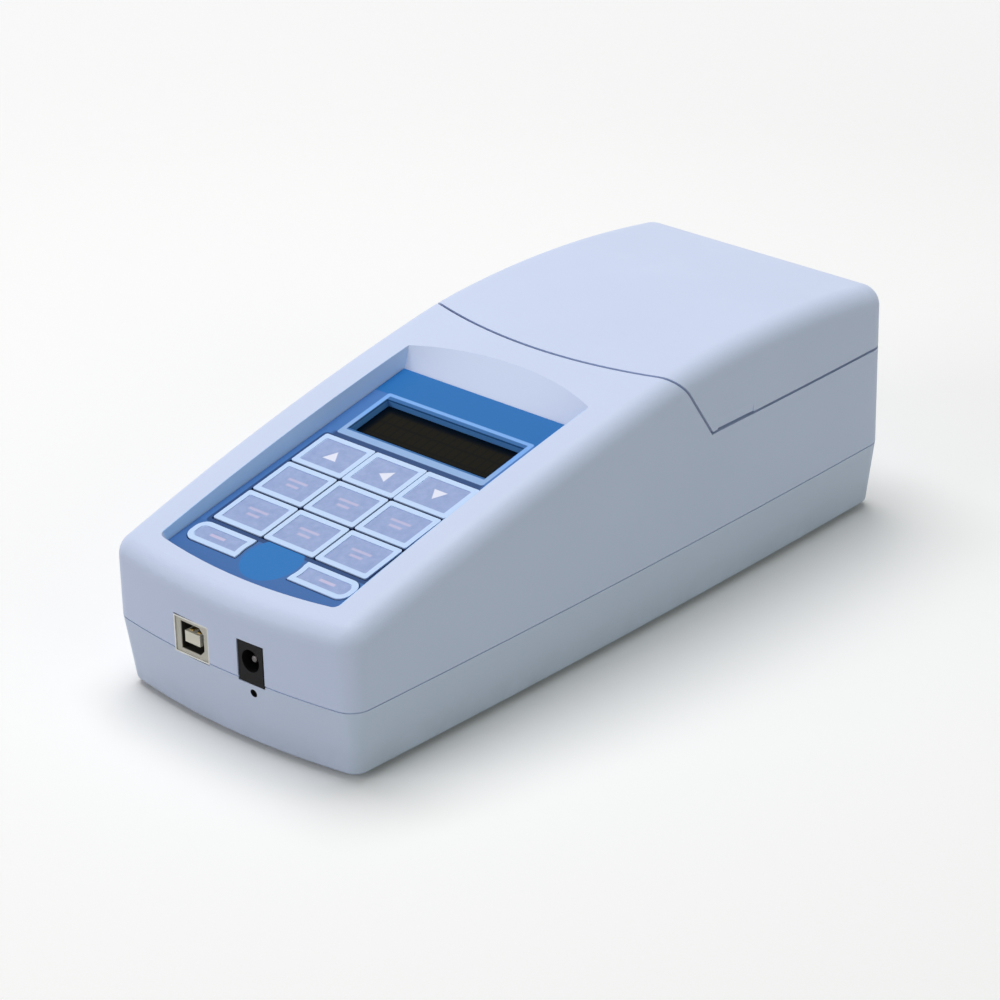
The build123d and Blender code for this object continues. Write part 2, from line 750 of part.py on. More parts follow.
# Lid: crown shell with skirt, inner ribs that leave room for the vial, finger grips and hinge barrels
lid_bottom_z = lid_seam_z + lid_gap
barrel_starts = [x + side * (ear_width / 2 + ear_side_gap) for x in ear_places for side in (-1, 1)]
ear_notch_half = ear_width / 2 + ear_side_gap
lid_hollow = inner_form & lid_zone(seam_setback + wall_setback, ear_foot_z)
rib_heights = (foot_height + crown_height - wall - rib_height, top_z)
skirt_root = lid_frame(wall / 2, wall / 2 + skirt_gap + skirt_thickness, seam_setback, lid_bottom_z, skirt_drop)
skirt = lid_frame(wall + skirt_gap, skirt_thickness, seam_setback, lid_bottom_z - skirt_drop, 2 * skirt_drop)
with BuildPart() as lid:
    add(outer_form)
    add(lid_zone(seam_setback, lid_bottom_z), mode=Mode.INTERSECT)
    add(lid_hollow, mode=Mode.SUBTRACT)
    add(skirt_root)
    add(skirt)
    for x in (*rib_x, *(-x for x in rib_x)):
        add(lid_hollow & block((x - rib_thickness / 2, x + rib_thickness / 2), (corner_y, rear_y), rib_heights))
    for y in (well_mid_y - rib_reach_y, well_mid_y + rib_reach_y):
        add(lid_hollow & block((-case_width, case_width), (y - rib_thickness / 2, y + rib_thickness / 2), rib_heights))
    for start in barrel_starts:
        outward = 1 if start in barrel_starts[1::2] else -1
        ends = span(start, start + outward * barrel_length)
        add(block(ends, (hinge_y, rear_y - wall / 2), (hinge_z - hinge_inset / 2, hinge_z + hinge_inset)))
        add(bar_along_x(ends, hinge_y, hinge_z, hinge_inset))
    rear_corner = block((-case_width, case_width), (hinge_y, rear_y + wall), (seam_z, hinge_z))
    rear_round = bar_along_x((-case_width, case_width), hinge_y, hinge_z, hinge_inset)
    add(rear_corner - rear_round, mode=Mode.SUBTRACT)
    for x in ear_places:
        add(block((x - ear_notch_half, x + ear_notch_half), (hinge_y - hinge_inset - wall, rear_y + wall),
                  (seam_z, hinge_z + hinge_inset + ear_top_gap)), mode=Mode.SUBTRACT)
    add(bar_along_x((-hinge_pin_half, hinge_pin_half), hinge_y, hinge_z, pin_radius + pin_running_gap),
        mode=Mode.SUBTRACT)
    for side in (-1, 1):
        add(grip_wedge(side), mode=Mode.SUBTRACT)
finish(lid, "lid")
with BuildPart() as hinge_pin:
    add(bar_along_x((-hinge_pin_half + pin_end_inset, hinge_pin_half - pin_end_inset), hinge_y, hinge_z,
                    pin_radius))
finish(hinge_pin, "hinge_pin")

# Keypad overlay: printed sheet on the recess floor, with windows for the keys and the display
overlay_face = panel_outline(
    panel_half_width - overlay_edge_gap, overlay_edge_gap, panel_length - overlay_edge_gap, 0,
    panel_corner_radius,
)
overlay_windows = panel_windows(-overlay_thickness, 3 * overlay_thickness)
with BuildPart() as keypad_overlay:
    with BuildSketch(panel):
        add(overlay_face)
    extrude(amount=overlay_thickness)
    add(overlay_windows, mode=Mode.SUBTRACT)
finish(keypad_overlay, "keypad_overlay")

# Key board under the recess floor, with the dark dome sheet on it
key_board_low_s = end_key_s - key_board_margin
key_board_high_s = key_grid_s + 3 * key_pitch_s + key_board_margin / 2
key_board_half = end_key_outer + key_board_margin / 2
with BuildPart() as key_board:
    with BuildSketch(panel.offset(-panel_wall - key_board_thickness)):
        with Locations((0, (key_board_low_s + key_board_high_s) / 2)):
            Rectangle(2 * key_board_half, key_board_high_s - key_board_low_s)
    extrude(amount=key_board_thickness)
finish(key_board, "key_board")
with BuildPart() as dome_sheet:
    with BuildSketch(panel.offset(-panel_wall)):
        with Locations((0, grid_mid_s)):
            Rectangle(grid_width - key_window_gap, grid_height - key_window_gap)
        for side in (-1, 1):
            add(end_outlines[side])
    extrude(amount=backing_thickness)
finish(dome_sheet, "dome_sheet")


def key_cap(face, pad_face):
    """Key standing just above the overlay, with its pad sunk inside a raised border."""
    low = key_travel + key_dome_gap + backing_thickness - panel_wall
    high = overlay_thickness + key_rise
    with BuildPart() as cap:
        with BuildSketch(panel.offset(low)):
            add(face)
        extrude(amount=high - low)
        with BuildSketch(panel.offset(high - pad_sink)):
            add(pad_face)
        extrude(amount=pad_sink, mode=Mode.SUBTRACT)
    return cap


def key_faces(middle, width, height):
    """Outline of a rectangular key and of its pad."""
    with BuildSketch() as face:
        with Locations(middle):
            RectangleRounded(width, height, key_corner_radius)
    with BuildSketch() as pad_face:
        with Locations(middle):
            Rectangle(width - 2 * pad_border, height - 2 * pad_border)
    return face.sketch, pad_face.sketch


for key_name, (middle, width, height) in grid_keys.items():
    finish(key_cap(*key_faces(middle, width, height)), key_name)
end_key_names = {-1: "end_key_left", 1: "end_key_right"}
for side, key_name in end_key_names.items():
    finish(key_cap(end_outlines[side], end_key_sketch(side, -pad_border)), key_name)

# Display: window sunk at the foot of its opening, on the module behind the recess floor
with BuildPart() as display_window:
    with BuildSketch(panel.offset(-panel_wall)):
        with Locations((0, display_mid_s)):
            Rectangle(display_outer_width, display_outer_height)
    extrude(amount=display_thickness)
finish(display_window, "display_window")
with BuildPart() as display_module:
    with BuildSketch(panel.offset(-panel_wall - module_thickness)):
        with Locations((0, display_mid_s)):
            Rectangle(module_width, module_height)
    extrude(amount=module_thickness)
finish(display_module, "display_module")

# Main board and the screws that hold it on its posts
with BuildPart() as main_board:
    add(block((-board_width / 2, board_width / 2), (board_front, board_rear), (board_z, board_top_z)))
    for x, y in board_posts:
        add(post(x, y, board_z, board_top_z, small_screw_radius + screw_clearance), mode=Mode.SUBTRACT)
finish(main_board, "main_board")
with BuildPart() as board_screws:
    for x, y in board_posts:
        add(post(x, y, board_top_z + board_thickness - small_screw_length, board_top_z, small_screw_radius))
        add(post(x, y, board_top_z, board_top_z + small_head_height, small_head_radius))
finish(board_screws, "board_screws")

# Flat cables from the main board up to the key board and to the display
cable_ends = {
    "key_cable": (key_cable_s, panel_wall + key_board_thickness),
    "display_cable": (display_mid_s - display_cable_inset, panel_wall + module_thickness),
}
cable_feet = {name: panel.from_local_coords((0, s, -under)).Y for name, (s, under) in cable_ends.items()}
for cable_name, (cable_s, under) in cable_ends.items():
    foot_y = cable_feet[cable_name]
    cable_stock = block((-cable_width / 2, cable_width / 2), (foot_y, foot_y + cable_thickness),
                        (board_top_z, top_z))
    with BuildPart() as flat_cable:
        add(cable_stock)
        split(bisect_by=panel.offset(-under), keep=Keep.BOTTOM)
    finish(flat_cable, cable_name)

# Chips on the main board, placed from the middle between the two cables
chip_mid_y = sum(cable_feet.values()) / len(cable_feet)
with BuildPart() as board_chips:
    for chip, (width, length, height) in chip_sizes.items():
        x, y = chip_places[chip]
        middle = chip_mid_y + y
        add(block((x - width / 2, x + width / 2), (middle - length / 2, middle + length / 2),
                  (board_top_z, board_top_z + height)))
finish(board_chips, "board_chips")

# USB-B socket: metal shell, moulded insert with its tongue, and contact strips
usb_rear = port_y + usb_depth
usb_inner_half = usb_width / 2 - usb_shell_thickness
usb_inner_high = usb_height / 2 - usb_shell_thickness
with BuildPart() as usb_shell:
    add(block((usb_x - usb_width / 2, usb_x + usb_width / 2), (port_y, usb_rear),
              (board_top_z, board_top_z + usb_height)))
    add(block((usb_x - usb_inner_half, usb_x + usb_inner_half), (port_y - wall, usb_rear - usb_shell_thickness),
              (usb_z - usb_inner_high, usb_z + usb_inner_high)), mode=Mode.SUBTRACT)
finish(usb_shell, "usb_shell")
usb_face_y = port_y + usb_shell_thickness
with BuildPart() as usb_insert:
    add(block((usb_x - usb_inner_half, usb_x + usb_inner_half), (usb_face_y, usb_rear - usb_shell_thickness),
              (usb_z - usb_inner_high, usb_z + usb_inner_high)))
    with BuildSketch(Plane.XZ.offset(-usb_face_y)):
        with Locations((usb_x, usb_z)):
            slot = Rectangle(usb_slot_width, usb_slot_height)
        chamfer(slot.vertices().sort_by(Axis.Z)[-2:], usb_slot_chamfer)
        with Locations((usb_x, usb_z)):
            Rectangle(usb_tongue_width, usb_tongue_height, mode=Mode.SUBTRACT)
    extrude(amount=-usb_slot_depth, mode=Mode.SUBTRACT)
finish(usb_insert, "usb_insert")
with BuildPart() as usb_contacts:
    for row in (-1, 1):
        for column in (-1, 1):
            x = usb_x + column * usb_tongue_width / 4
            z = usb_z + row * (usb_tongue_height + usb_contact_thickness) / 2
            add(block((x - usb_contact_width / 2, x + usb_contact_width / 2),
                      (usb_face_y + usb_contact_start, usb_face_y + usb_slot_depth),
                      (z - usb_contact_thickness / 2, z + usb_contact_thickness / 2)))
finish(usb_contacts, "usb_contacts")

# Power jack: moulded body with its round socket and the centre pin
jack_bore_z = board_top_z + jack_bore_rise
jack_rear = port_y + jack_depth
with BuildPart() as power_jack:
    add(block((jack_x - jack_width / 2, jack_x + jack_width / 2), (port_y, jack_rear),
              (board_top_z, board_top_z + jack_height)))
    add(bar_along_y(jack_x, (port_y - wall, port_y + jack_bore_depth), jack_bore_z, jack_bore_radius),
        mode=Mode.SUBTRACT)
    add(bar_along_y(jack_x, (port_y, jack_rear - jack_pin_inset), jack_bore_z, jack_pin_radius + pin_seat_gap),
        mode=Mode.SUBTRACT)
finish(power_jack, "power_jack")
with BuildPart() as jack_pin:
    add(bar_along_y(jack_x, (port_y + jack_pin_inset, jack_rear - jack_pin_inset), jack_bore_z,
                    jack_pin_radius))
    fillet(jack_pin.edges().sort_by(Axis.Y)[0], jack_pin_radius / 2)
finish(jack_pin, "jack_pin")

# Charge light: light guide in the lower case's hole, and the light source under the board
light_front = port_y + light_recess
with BuildPart() as light_guide:
    add(bar_along_y(light_x, (light_front, light_front + light_length), light_z, light_radius))
finish(light_guide, "light_guide")
with BuildPart() as charge_light:
    led_front = light_front + light_length + light_gap
    add(block((light_x - led_width / 2, light_x + led_width / 2), (led_front, led_front + led_length),
              (light_z - light_radius, board_z)))
finish(charge_light, "charge_light")

# Sample deck under the lid, with its screws and the light seal
deck_outline = plan_face(wall + deck_edge_gap, corner_radius - wall - deck_edge_gap)
deck_zone = lid_zone(deck_edge_gap, deck_bottom_z)
deck_rear_y = hinge_y - hinge_inset - deck_edge_gap
with BuildPart() as sample_deck:
    with BuildSketch(Plane.XY.offset(deck_bottom_z)):
        add(deck_outline)
    extrude(amount=deck_thickness)
    add(deck_zone, mode=Mode.INTERSECT)
    add(block((-case_width, case_width), (corner_y, deck_rear_y), (0, top_z)), mode=Mode.INTERSECT)
    add(post(0, well_mid_y, 0, top_z, neck_radius + neck_gap), mode=Mode.SUBTRACT)
    for x, y in deck_screws:
        add(post(x, y, 0, top_z, small_screw_radius + screw_clearance), mode=Mode.SUBTRACT)
finish(sample_deck, "sample_deck")
with BuildPart() as deck_screws_part:
    for x, y in deck_screws:
        add(post(x, y, deck_z - small_screw_length + small_head_height, deck_z, small_screw_radius))
        add(post(x, y, deck_z, deck_z + small_head_height / 2, small_head_radius))
finish(deck_screws_part, "deck_screws")

# Optical block: square body with the sample well, its neck and three light channels
beam_z = foot_height + beam_height
with BuildPart() as cell_holder:
    add(block((-block_size / 2, block_size / 2), (block_front, block_rear), (block_bottom_z, deck_bottom_z)))
    add(post(0, well_mid_y, block_bottom_z, deck_z + neck_rise, neck_radius))
    add(post(0, well_mid_y, well_bottom_z, top_z, well_radius), mode=Mode.SUBTRACT)
    add(bar_along_x((-block_size, block_size), well_mid_y, beam_z, beam_radius), mode=Mode.SUBTRACT)
    add(bar_along_y(0, (block_front - wall, well_mid_y), beam_z, beam_radius), mode=Mode.SUBTRACT)
    for side in (-1, 1):
        seat = span(side * block_size / 2, side * (block_size / 2 - seat_depth))
        add(bar_along_x(seat, well_mid_y, beam_z, seat_radius), mode=Mode.SUBTRACT)
    add(bar_along_y(0, (block_front, block_front + seat_depth), beam_z, seat_radius), mode=Mode.SUBTRACT)
finish(cell_holder, "cell_holder")

# Lamp and lens on the left, detectors straight across and at the front, each on its own small board
lamp_face = -block_size / 2
with BuildPart() as lamp:
    add(bar_along_x((lamp_face, lamp_face + seat_depth - lens_thickness - seat_gap), well_mid_y, beam_z,
                    seat_radius - seat_gap))
    add(bar_along_x((lamp_face - lamp_length, lamp_face), well_mid_y, beam_z, lamp_base_radius))
finish(lamp, "lamp")
with BuildPart() as beam_lens:
    lens_end = lamp_face + seat_depth
    add(bar_along_x((lens_end - lens_thickness, lens_end), well_mid_y, beam_z, seat_radius - seat_gap))
finish(beam_lens, "beam_lens")
with BuildPart() as transmitted_detector:
    right_face = block_size / 2
    add(bar_along_x((right_face - seat_depth + seat_gap, right_face), well_mid_y, beam_z, seat_radius - seat_gap))
finish(transmitted_detector, "transmitted_light_detector")
with BuildPart() as scattered_detector:
    add(bar_along_y(0, (block_front, block_front + seat_depth - seat_gap), beam_z, seat_radius - seat_gap))
finish(scattered_detector, "scattered_light_detector")
with BuildPart() as detector_boards:
    half = optics_board_size / 2
    add(block((right_face, right_face + optics_board_thickness), (well_mid_y - half, well_mid_y + half),
              (beam_z - half, beam_z + half)))
    add(block((-half, half), (block_front - optics_board_thickness, block_front),
              (beam_z - half, beam_z + half)))
finish(detector_boards, "detector_boards")

# Light seal lying on the deck under the lid's skirt
seal_height = lid_bottom_z - skirt_drop - seal_gap - deck_z
with BuildPart() as light_seal:
    add(lid_frame(wall + skirt_gap, seal_width, seal_setback, deck_z, seal_height))
finish(light_seal, "light_seal")
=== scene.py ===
# %% [markdown]
# A portable turbidity meter is a hand-sized laboratory instrument: a sloped plastic case with a
# keypad and a display on its ramp, two sockets in front, and a lid at the rear over the sample well.
# The solid model gives every piece its size and place. This lesson gives the pieces their finish and
# adds the prints and small details that only show, then sets light, floor and camera.

# %% Load the solid model
import math

import bmesh
import bpy
from mathutils import Matrix, Vector


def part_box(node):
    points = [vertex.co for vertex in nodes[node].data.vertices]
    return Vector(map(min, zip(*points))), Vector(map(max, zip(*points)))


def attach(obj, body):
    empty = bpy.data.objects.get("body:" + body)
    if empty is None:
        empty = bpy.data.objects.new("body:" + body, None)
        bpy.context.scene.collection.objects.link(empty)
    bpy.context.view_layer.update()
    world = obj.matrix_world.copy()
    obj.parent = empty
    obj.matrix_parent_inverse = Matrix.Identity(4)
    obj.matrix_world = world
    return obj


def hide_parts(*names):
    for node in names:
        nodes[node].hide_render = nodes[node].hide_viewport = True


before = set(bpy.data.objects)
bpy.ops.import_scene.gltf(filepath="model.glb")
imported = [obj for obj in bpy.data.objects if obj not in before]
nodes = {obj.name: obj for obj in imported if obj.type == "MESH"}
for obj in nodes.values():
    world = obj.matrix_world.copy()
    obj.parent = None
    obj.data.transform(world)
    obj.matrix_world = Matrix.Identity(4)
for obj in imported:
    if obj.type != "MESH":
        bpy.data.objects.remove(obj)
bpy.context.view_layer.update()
MM = 0.001
print("nodes loaded:", len(nodes))

# %% [markdown]
# The photograph was taken with a long lens from the front right, a quarter of the way up. A camera is
# a matrix: its columns are the directions that point right, up and back from the picture, and the
# place it stands. Building the matrix from the three measured angles keeps it exact, where aiming
# with a constraint would lose the slight tilt of the picture.

# %% Camera
AZIMUTH = math.radians(42.91)
ELEVATION = math.radians(25.451)
ROLL = math.radians(-1.2)
DISTANCE = 0.96294
LENS = 123.98
SENSOR_WIDTH = 36
AIM = Vector((-0.006739, 0.002075, 0.025335))
back = Vector((math.sin(AZIMUTH) * math.cos(ELEVATION),
               -math.cos(AZIMUTH) * math.cos(ELEVATION),
               math.sin(ELEVATION)))
level = Vector((math.cos(AZIMUTH), math.sin(AZIMUTH), 0))
upward = back.cross(level)
right = math.cos(ROLL) * level + math.sin(ROLL) * upward
top = math.cos(ROLL) * upward - math.sin(ROLL) * level
camera_data = bpy.data.cameras.new("camera")
camera_data.lens = LENS
camera_data.sensor_width = SENSOR_WIDTH
camera = bpy.data.objects.new("camera", camera_data)
camera.matrix_world = Matrix((
    (right.x, top.x, back.x, AIM.x + DISTANCE * back.x),
    (right.y, top.y, back.y, AIM.y + DISTANCE * back.y),
    (right.z, top.z, back.z, AIM.z + DISTANCE * back.z),
    (0, 0, 0, 1),
))
bpy.context.collection.objects.link(camera)
bpy.context.scene.camera = camera
print("camera stands at", [round(value, 3) for value in camera.location])

# %% [markdown]
# Shader maths reads best as plain expressions. The class below wraps one output socket, and its
# operators add Math nodes, so that a mask is written as a formula. Masks run from 0 to 1: above and
# below make a soft step at an edge, and a product of two masks keeps only what both cover.

# %% Shader maths
class Wire:
    """One number that varies over a surface."""

    def __init__(self, finish, socket):
        self.finish, self.socket = finish, socket

    def math(self, operation, *others, clamp=False):
        values = [self, *others]
        node = self.finish.node("ShaderNodeMath", {"operation": operation, "use_clamp": clamp}, values)
        return Wire(self.finish, node.outputs[0])

    def __add__(self, other):
        return self.math("ADD", other)

    __radd__ = __add__

    def __sub__(self, other):
        return self.math("SUBTRACT", other)

    def __rsub__(self, other):
        return (self * -1.0).math("ADD", other)

    def __mul__(self, other):
        return self.math("MULTIPLY", other)

    __rmul__ = __mul__

    def __truediv__(self, other):
        return self.math("DIVIDE", other)

    def size(self):
        return self.math("ABSOLUTE")

    def most(self, other):
        return self.math("MAXIMUM", other)

    def above(self, edge, blur):
        """Mask of where the number is over an edge, going from 0 to 1 within blur."""
        return ((self - edge) / blur).math("ADD", 0.5, clamp=True)

    def below(self, edge, blur):
        return 1.0 - self.above(edge, blur)

    def within(self, low, high, blur):
        return self.above(low, blur) * self.below(high, blur)


print("wires ready")

# %% [markdown]
# A finish is one material. It starts as a plain colour and roughness, and whatever varies over the
# surface is wired in afterwards. Patterns read the object's own coordinates, in which the whole
# instrument stands, so a print keeps its place on the piece from every side and in every pose.

# %% Finishes
class Finish:
    """A material under construction."""

    def __init__(self, name, color, roughness=0.5, **fixed):
        self.material = bpy.data.materials.new(name)
        self.material.use_nodes = True
        self.tree = self.material.node_tree
        self.shader = self.tree.nodes["Principled BSDF"]
        self.shader.inputs["Base Color"].default_value = (*color, 1)
        self.shader.inputs["Roughness"].default_value = roughness
        for socket, value in fixed.items():
            self.shader.inputs[socket.replace("_", " ")].default_value = value
        self.material.diffuse_color = (*color, 1)
        self.place = self.tree.nodes.new("ShaderNodeTexCoord").outputs["Object"]

    def node(self, kind, settings=None, values=(), named=None):
        """Adds a node: its settings first, then the values or links of its sockets."""
        node = self.tree.nodes.new(kind)
        for key, value in (settings or {}).items():
            setattr(node, key, value)
        for index, value in [*enumerate(values), *(named or {}).items()]:
            self.feed(node.inputs[index], value)
        return node

    def feed(self, socket, value):
        """Sets a socket to a number or links it to a wire or another node's output."""
        if isinstance(value, Wire):
            self.tree.links.new(value.socket, socket)
        elif isinstance(value, bpy.types.NodeSocket):
            self.tree.links.new(value, socket)
        else:
            socket.default_value = value

    def axes(self):
        """The three object coordinates as wires, in millimetres."""
        parts = self.node("ShaderNodeSeparateXYZ", values=[self.place]).outputs
        return [Wire(self, part) * 1000.0 for part in parts]

    def stretched(self, x, y, z):
        """The place with each axis scaled, for patterns that run along one direction."""
        named = {"Vector": self.place, "Scale": (x, y, z)}
        return self.node("ShaderNodeMapping", named=named).outputs[0]

    def noise(self, scale, detail=3.0, roughness=0.5, place=None):
        """Smooth random cloud between 0 and 1; scale counts its blobs per metre."""
        place = place or self.place
        named = {"Vector": place, "Scale": scale, "Detail": detail, "Roughness": roughness}
        return Wire(self, self.node("ShaderNodeTexNoise", named=named).outputs["Fac"])

    def mix(self, mask, first, second):
        """Colour that goes from first to second as mask goes from 0 to 1."""
        node = self.node("ShaderNodeMix", {"data_type": "RGBA"})
        self.feed(node.inputs[0], mask)
        for socket, color in ((node.inputs[6], first), (node.inputs[7], second)):
            self.feed(socket, (*color, 1) if isinstance(color, tuple) else color)
        return node.outputs[2]

    def bump(self, height, strength, distance):
        """Raises the surface by a height map; distance is in metres."""
        named = {"Height": height, "Strength": strength, "Distance": distance}
        bump = self.node("ShaderNodeBump", named=named)
        self.feed(self.shader.inputs["Normal"], bump.outputs["Normal"])

    def color(self, socket):
        self.feed(self.shader.inputs["Base Color"], socket)

    def clouded(self, scale, detail, low, high):
        """Lets noise mix two colours into the base colour."""
        self.color(self.mix(self.noise(scale, detail), low, high))

    def roughness(self, wire):
        self.feed(self.shader.inputs["Roughness"], wire)

    def uneven(self, scale, detail, spread, least):
        """Lets noise spread the roughness above a least value."""
        self.roughness(self.noise(scale, detail) * spread + least)

    def on(self, *names):
        """Gives this finish to solid-model nodes."""
        for name in names:
            data = nodes[name].data
            data.materials.clear()
            data.materials.append(self.material)


print("finish helper ready")

# %% [markdown]
# The case is moulded from a pale lilac-blue plastic with a fine matt texture. Such a surface is never
# quite even: the colour clouds a little, the texture breaks up the gloss, and grime gathers low down
# where the case is lifted from a bench. Noise at three scales gives these: a wide one for the cloud,
# a middle one for the grime and a very fine one for the grain. The lower case comes from another batch
# and is a little greyer, and the wall of its charge light's narrow hole has painted shade, near black.

# %% Case plastic
PALE_LOW = (0.575, 0.650, 0.845)
PALE_HIGH = (0.620, 0.695, 0.900)
GREY_LOW = (0.560, 0.640, 0.805)
GREY_HIGH = (0.605, 0.685, 0.855)
GRIME = (0.36, 0.40, 0.45)
HOLE_SHADE_BLACK = (0.012, 0.012, 0.014)
LIGHT_X, LIGHT_Z, LIGHT_RADIUS = 11.4, 17.5, 1.1
FRONT_Y = -100.0


def case_plastic(name, low=PALE_LOW, high=PALE_HIGH):
    """Matt moulded plastic, returned with its colour, so that a piece can add its own marks."""
    finish = Finish(name, high, 0.45, Specular_IOR_Level=0.2)
    height = finish.axes()[2]
    cloud = finish.noise(22, 4)
    grain = finish.noise(2400, 2)
    soiled = height.below(6.0, 9.0) * finish.noise(90, 5, 0.6).above(0.5, 0.3)
    color = finish.mix(cloud, low, high)
    color = finish.mix(soiled * 0.3, color, GRIME)
    rubbed = finish.noise(60, 5, 0.6).above(0.58, 0.12)
    finish.roughness(grain * 0.12 + cloud * 0.10 + 0.36 - rubbed * 0.06)
    finish.bump(grain, 0.3, 0.00008)
    finish.color(color)
    return finish, color


lid_finish, _ = case_plastic("case_plastic")
lid_finish.on("lid")
shell_finish, shell_color = case_plastic("lower_case_plastic", GREY_LOW, GREY_HIGH)
x, y, z = shell_finish.axes()
# painted shade: the wall of the charge light's narrow hole is painted near black, as shade deep in the
# hole
from_light = ((x - LIGHT_X) * (x - LIGHT_X) + (z - LIGHT_Z) * (z - LIGHT_Z)).math("SQRT")
hole_shade = from_light.below(LIGHT_RADIUS + 0.05, 0.06) * y.below(FRONT_Y, 1.0)
shell_finish.color(shell_finish.mix(hole_shade, shell_color, HOLE_SHADE_BLACK))
shell_finish.on("lower_case", "battery_cover")
print("case plastic on the lid, the lower case and the battery cover")

# %% [markdown]
# Everything on the keypad is laid out on the sloped floor of the recess. Its prints are easiest to
# draw in that floor's own coordinates: across, along the slope, and out of it. They come from turning
# the object's y and z by the slope angle about the floor's front edge.

# %% Coordinates of the sloped panel
PANEL_Y, PANEL_Z = -100.075, 42.15
PANEL_TILT = math.radians(12)


def panel_axes(finish):
    """Distances across, along and out of the sloped panel, in millimetres."""
    x, y, z = finish.axes()
    y, z = y - PANEL_Y, z - PANEL_Z
    along = y * math.cos(PANEL_TILT) + z * math.sin(PANEL_TILT)
    out = z * math.cos(PANEL_TILT) - y * math.sin(PANEL_TILT)
    return x, along, out


def from_box(across, along, half_width, half_height, radius):
    """Distance outside a rounded rectangle that is centred where both wires are zero."""
    side = (across.size() - (half_width - radius)).most(0.0)
    end = (along.size() - (half_height - radius)).most(0.0)
    return (side * side + end * end).math("SQRT") - radius


print("panel coordinates ready")

# %% [markdown]
# The side walls of the recess carry a pale blue, strongest at the foot and in front, and a little
# weaker towards the rim and the rear, as a painted reflection of the blue overlay. The display lies
# sunk in an opening, and the walls of that opening are a deeper blue. The upper case takes the case
# plastic and tints just those walls, with masks that follow their places. The recess's walls lean
# outwards, so their mask leans with them. A second material would need the faces split, so masks on
# one are simpler.

# %% Upper case
OVERLAY_REFLECTION_BLUE = (0.42, 0.64, 0.98)
SUNK_BLUE = (0.110, 0.330, 0.760)
DISPLAY_S = 71.6
OPENING_HALF_X, OPENING_HALF_S, OPENING_DEPTH = 25.3, 7.9, 2.4
WALL_X, WALL_LEAN = 32.0, 0.2
WALL_FRONT_S, WALL_REAR_S = 0.6, 97.0
FADE_OUT, FADE_BLUR = 8.0, 12.0
FRONT_TINT, TINT_REACH = 1.05, 220.0
upper_finish, upper_color = case_plastic("upper_case_plastic")
across, along, out = panel_axes(upper_finish)
from_wall = (across.size() - out * WALL_LEAN - WALL_X).size()
wall_length = along.above(WALL_FRONT_S, 0.4) * along.below(WALL_REAR_S, 1.0)
on_wall = from_wall.below(0.25, 0.2) * out.above(0.2, 0.3) * wall_length
# painted reflection: the overlay's blue on the recess walls, fading away from the panel and towards
# the rear
reflection_fade = out.below(FADE_OUT, FADE_BLUR) * (FRONT_TINT - along / TINT_REACH)
color = upper_finish.mix(on_wall * reflection_fade, upper_color, OVERLAY_REFLECTION_BLUE)
opening = from_box(across, along - DISPLAY_S, OPENING_HALF_X, OPENING_HALF_S, 0.1)
in_opening = opening.below(0.3, 0.1) * out.within(-OPENING_DEPTH, 0.05, 0.05)
upper_finish.color(upper_finish.mix(in_opening, color, SUNK_BLUE))
upper_finish.on("upper_case")
print("upper case tinted in its recess")

# %% [markdown]
# The overlay is a thin printed sheet, satin blue. The print has a brighter strip above the display, a
# light line round the window, a bright disc between the two bottom keys and a dark field behind the
# keys, pale in the arrow row. Each is a distance turned into a mask, drawn one over the other as the
# printer lays down inks. The line keeps further away from the window above than at the sides, and is
# widest below, where it is also painted paler as painted light.

# %% Overlay print
BLUE = (0.052, 0.150, 0.400)
BLUE_LIGHT = (0.075, 0.205, 0.520)
BLUE_DEEP = (0.026, 0.068, 0.195)
BLUE_BRIGHT = (0.018, 0.155, 0.450)
BLUE_MUTED = (0.034, 0.140, 0.370)
FOOT_BLUE = (0.054, 0.152, 0.400)
DISC_BLUE = (0.026, 0.180, 0.505)
SKY = (0.210, 0.430, 0.860)
LIT_LINE_ICE = (0.290, 0.450, 0.740)
KEYS_S, END_KEYS_S = 36.0, 8.3
FIELD_HALF_X, FIELD_HALF_S = 29.6, 23.4
ARROWS_LOW_S, ARROWS_HIGH_S, ARROWS_HALF_X = 45.0, 57.6, 27.0
GAP_LOW_S, GAP_HIGH_S, GAP_HALF_X = 58.6, 61.0, 27.5
FOOT_STRIP_S, TITLE_STRIP_S, DISC_RADIUS = 12.6, 81.5, 8.7
LINE_S, LINE_HALF_X, LINE_HALF_S = 71.35, 26.9, 10.65
WITHIN_S, WITHIN_HALF_X, WITHIN_HALF_S = 71.95, 25.4, 8.85

overlay = Finish("overlay_print", BLUE, 0.38, Specular_IOR_Level=0.1)
across, along, out = panel_axes(overlay)
ink = overlay.noise(30, 3)
color = overlay.mix(ink * 0.5 + along / 190.0, BLUE, BLUE_LIGHT)
field = from_box(across, along - KEYS_S, FIELD_HALF_X, FIELD_HALF_S, 1.2)
arrow_row = along.within(ARROWS_LOW_S, ARROWS_HIGH_S, 0.3) * across.size().below(ARROWS_HALF_X, 0.3)
from_disc = (across * across + (along - END_KEYS_S) * (along - END_KEYS_S)).math("SQRT")
gap_to_keys = along.within(GAP_LOW_S, GAP_HIGH_S, 0.5) * across.size().below(GAP_HALF_X, 1.5)
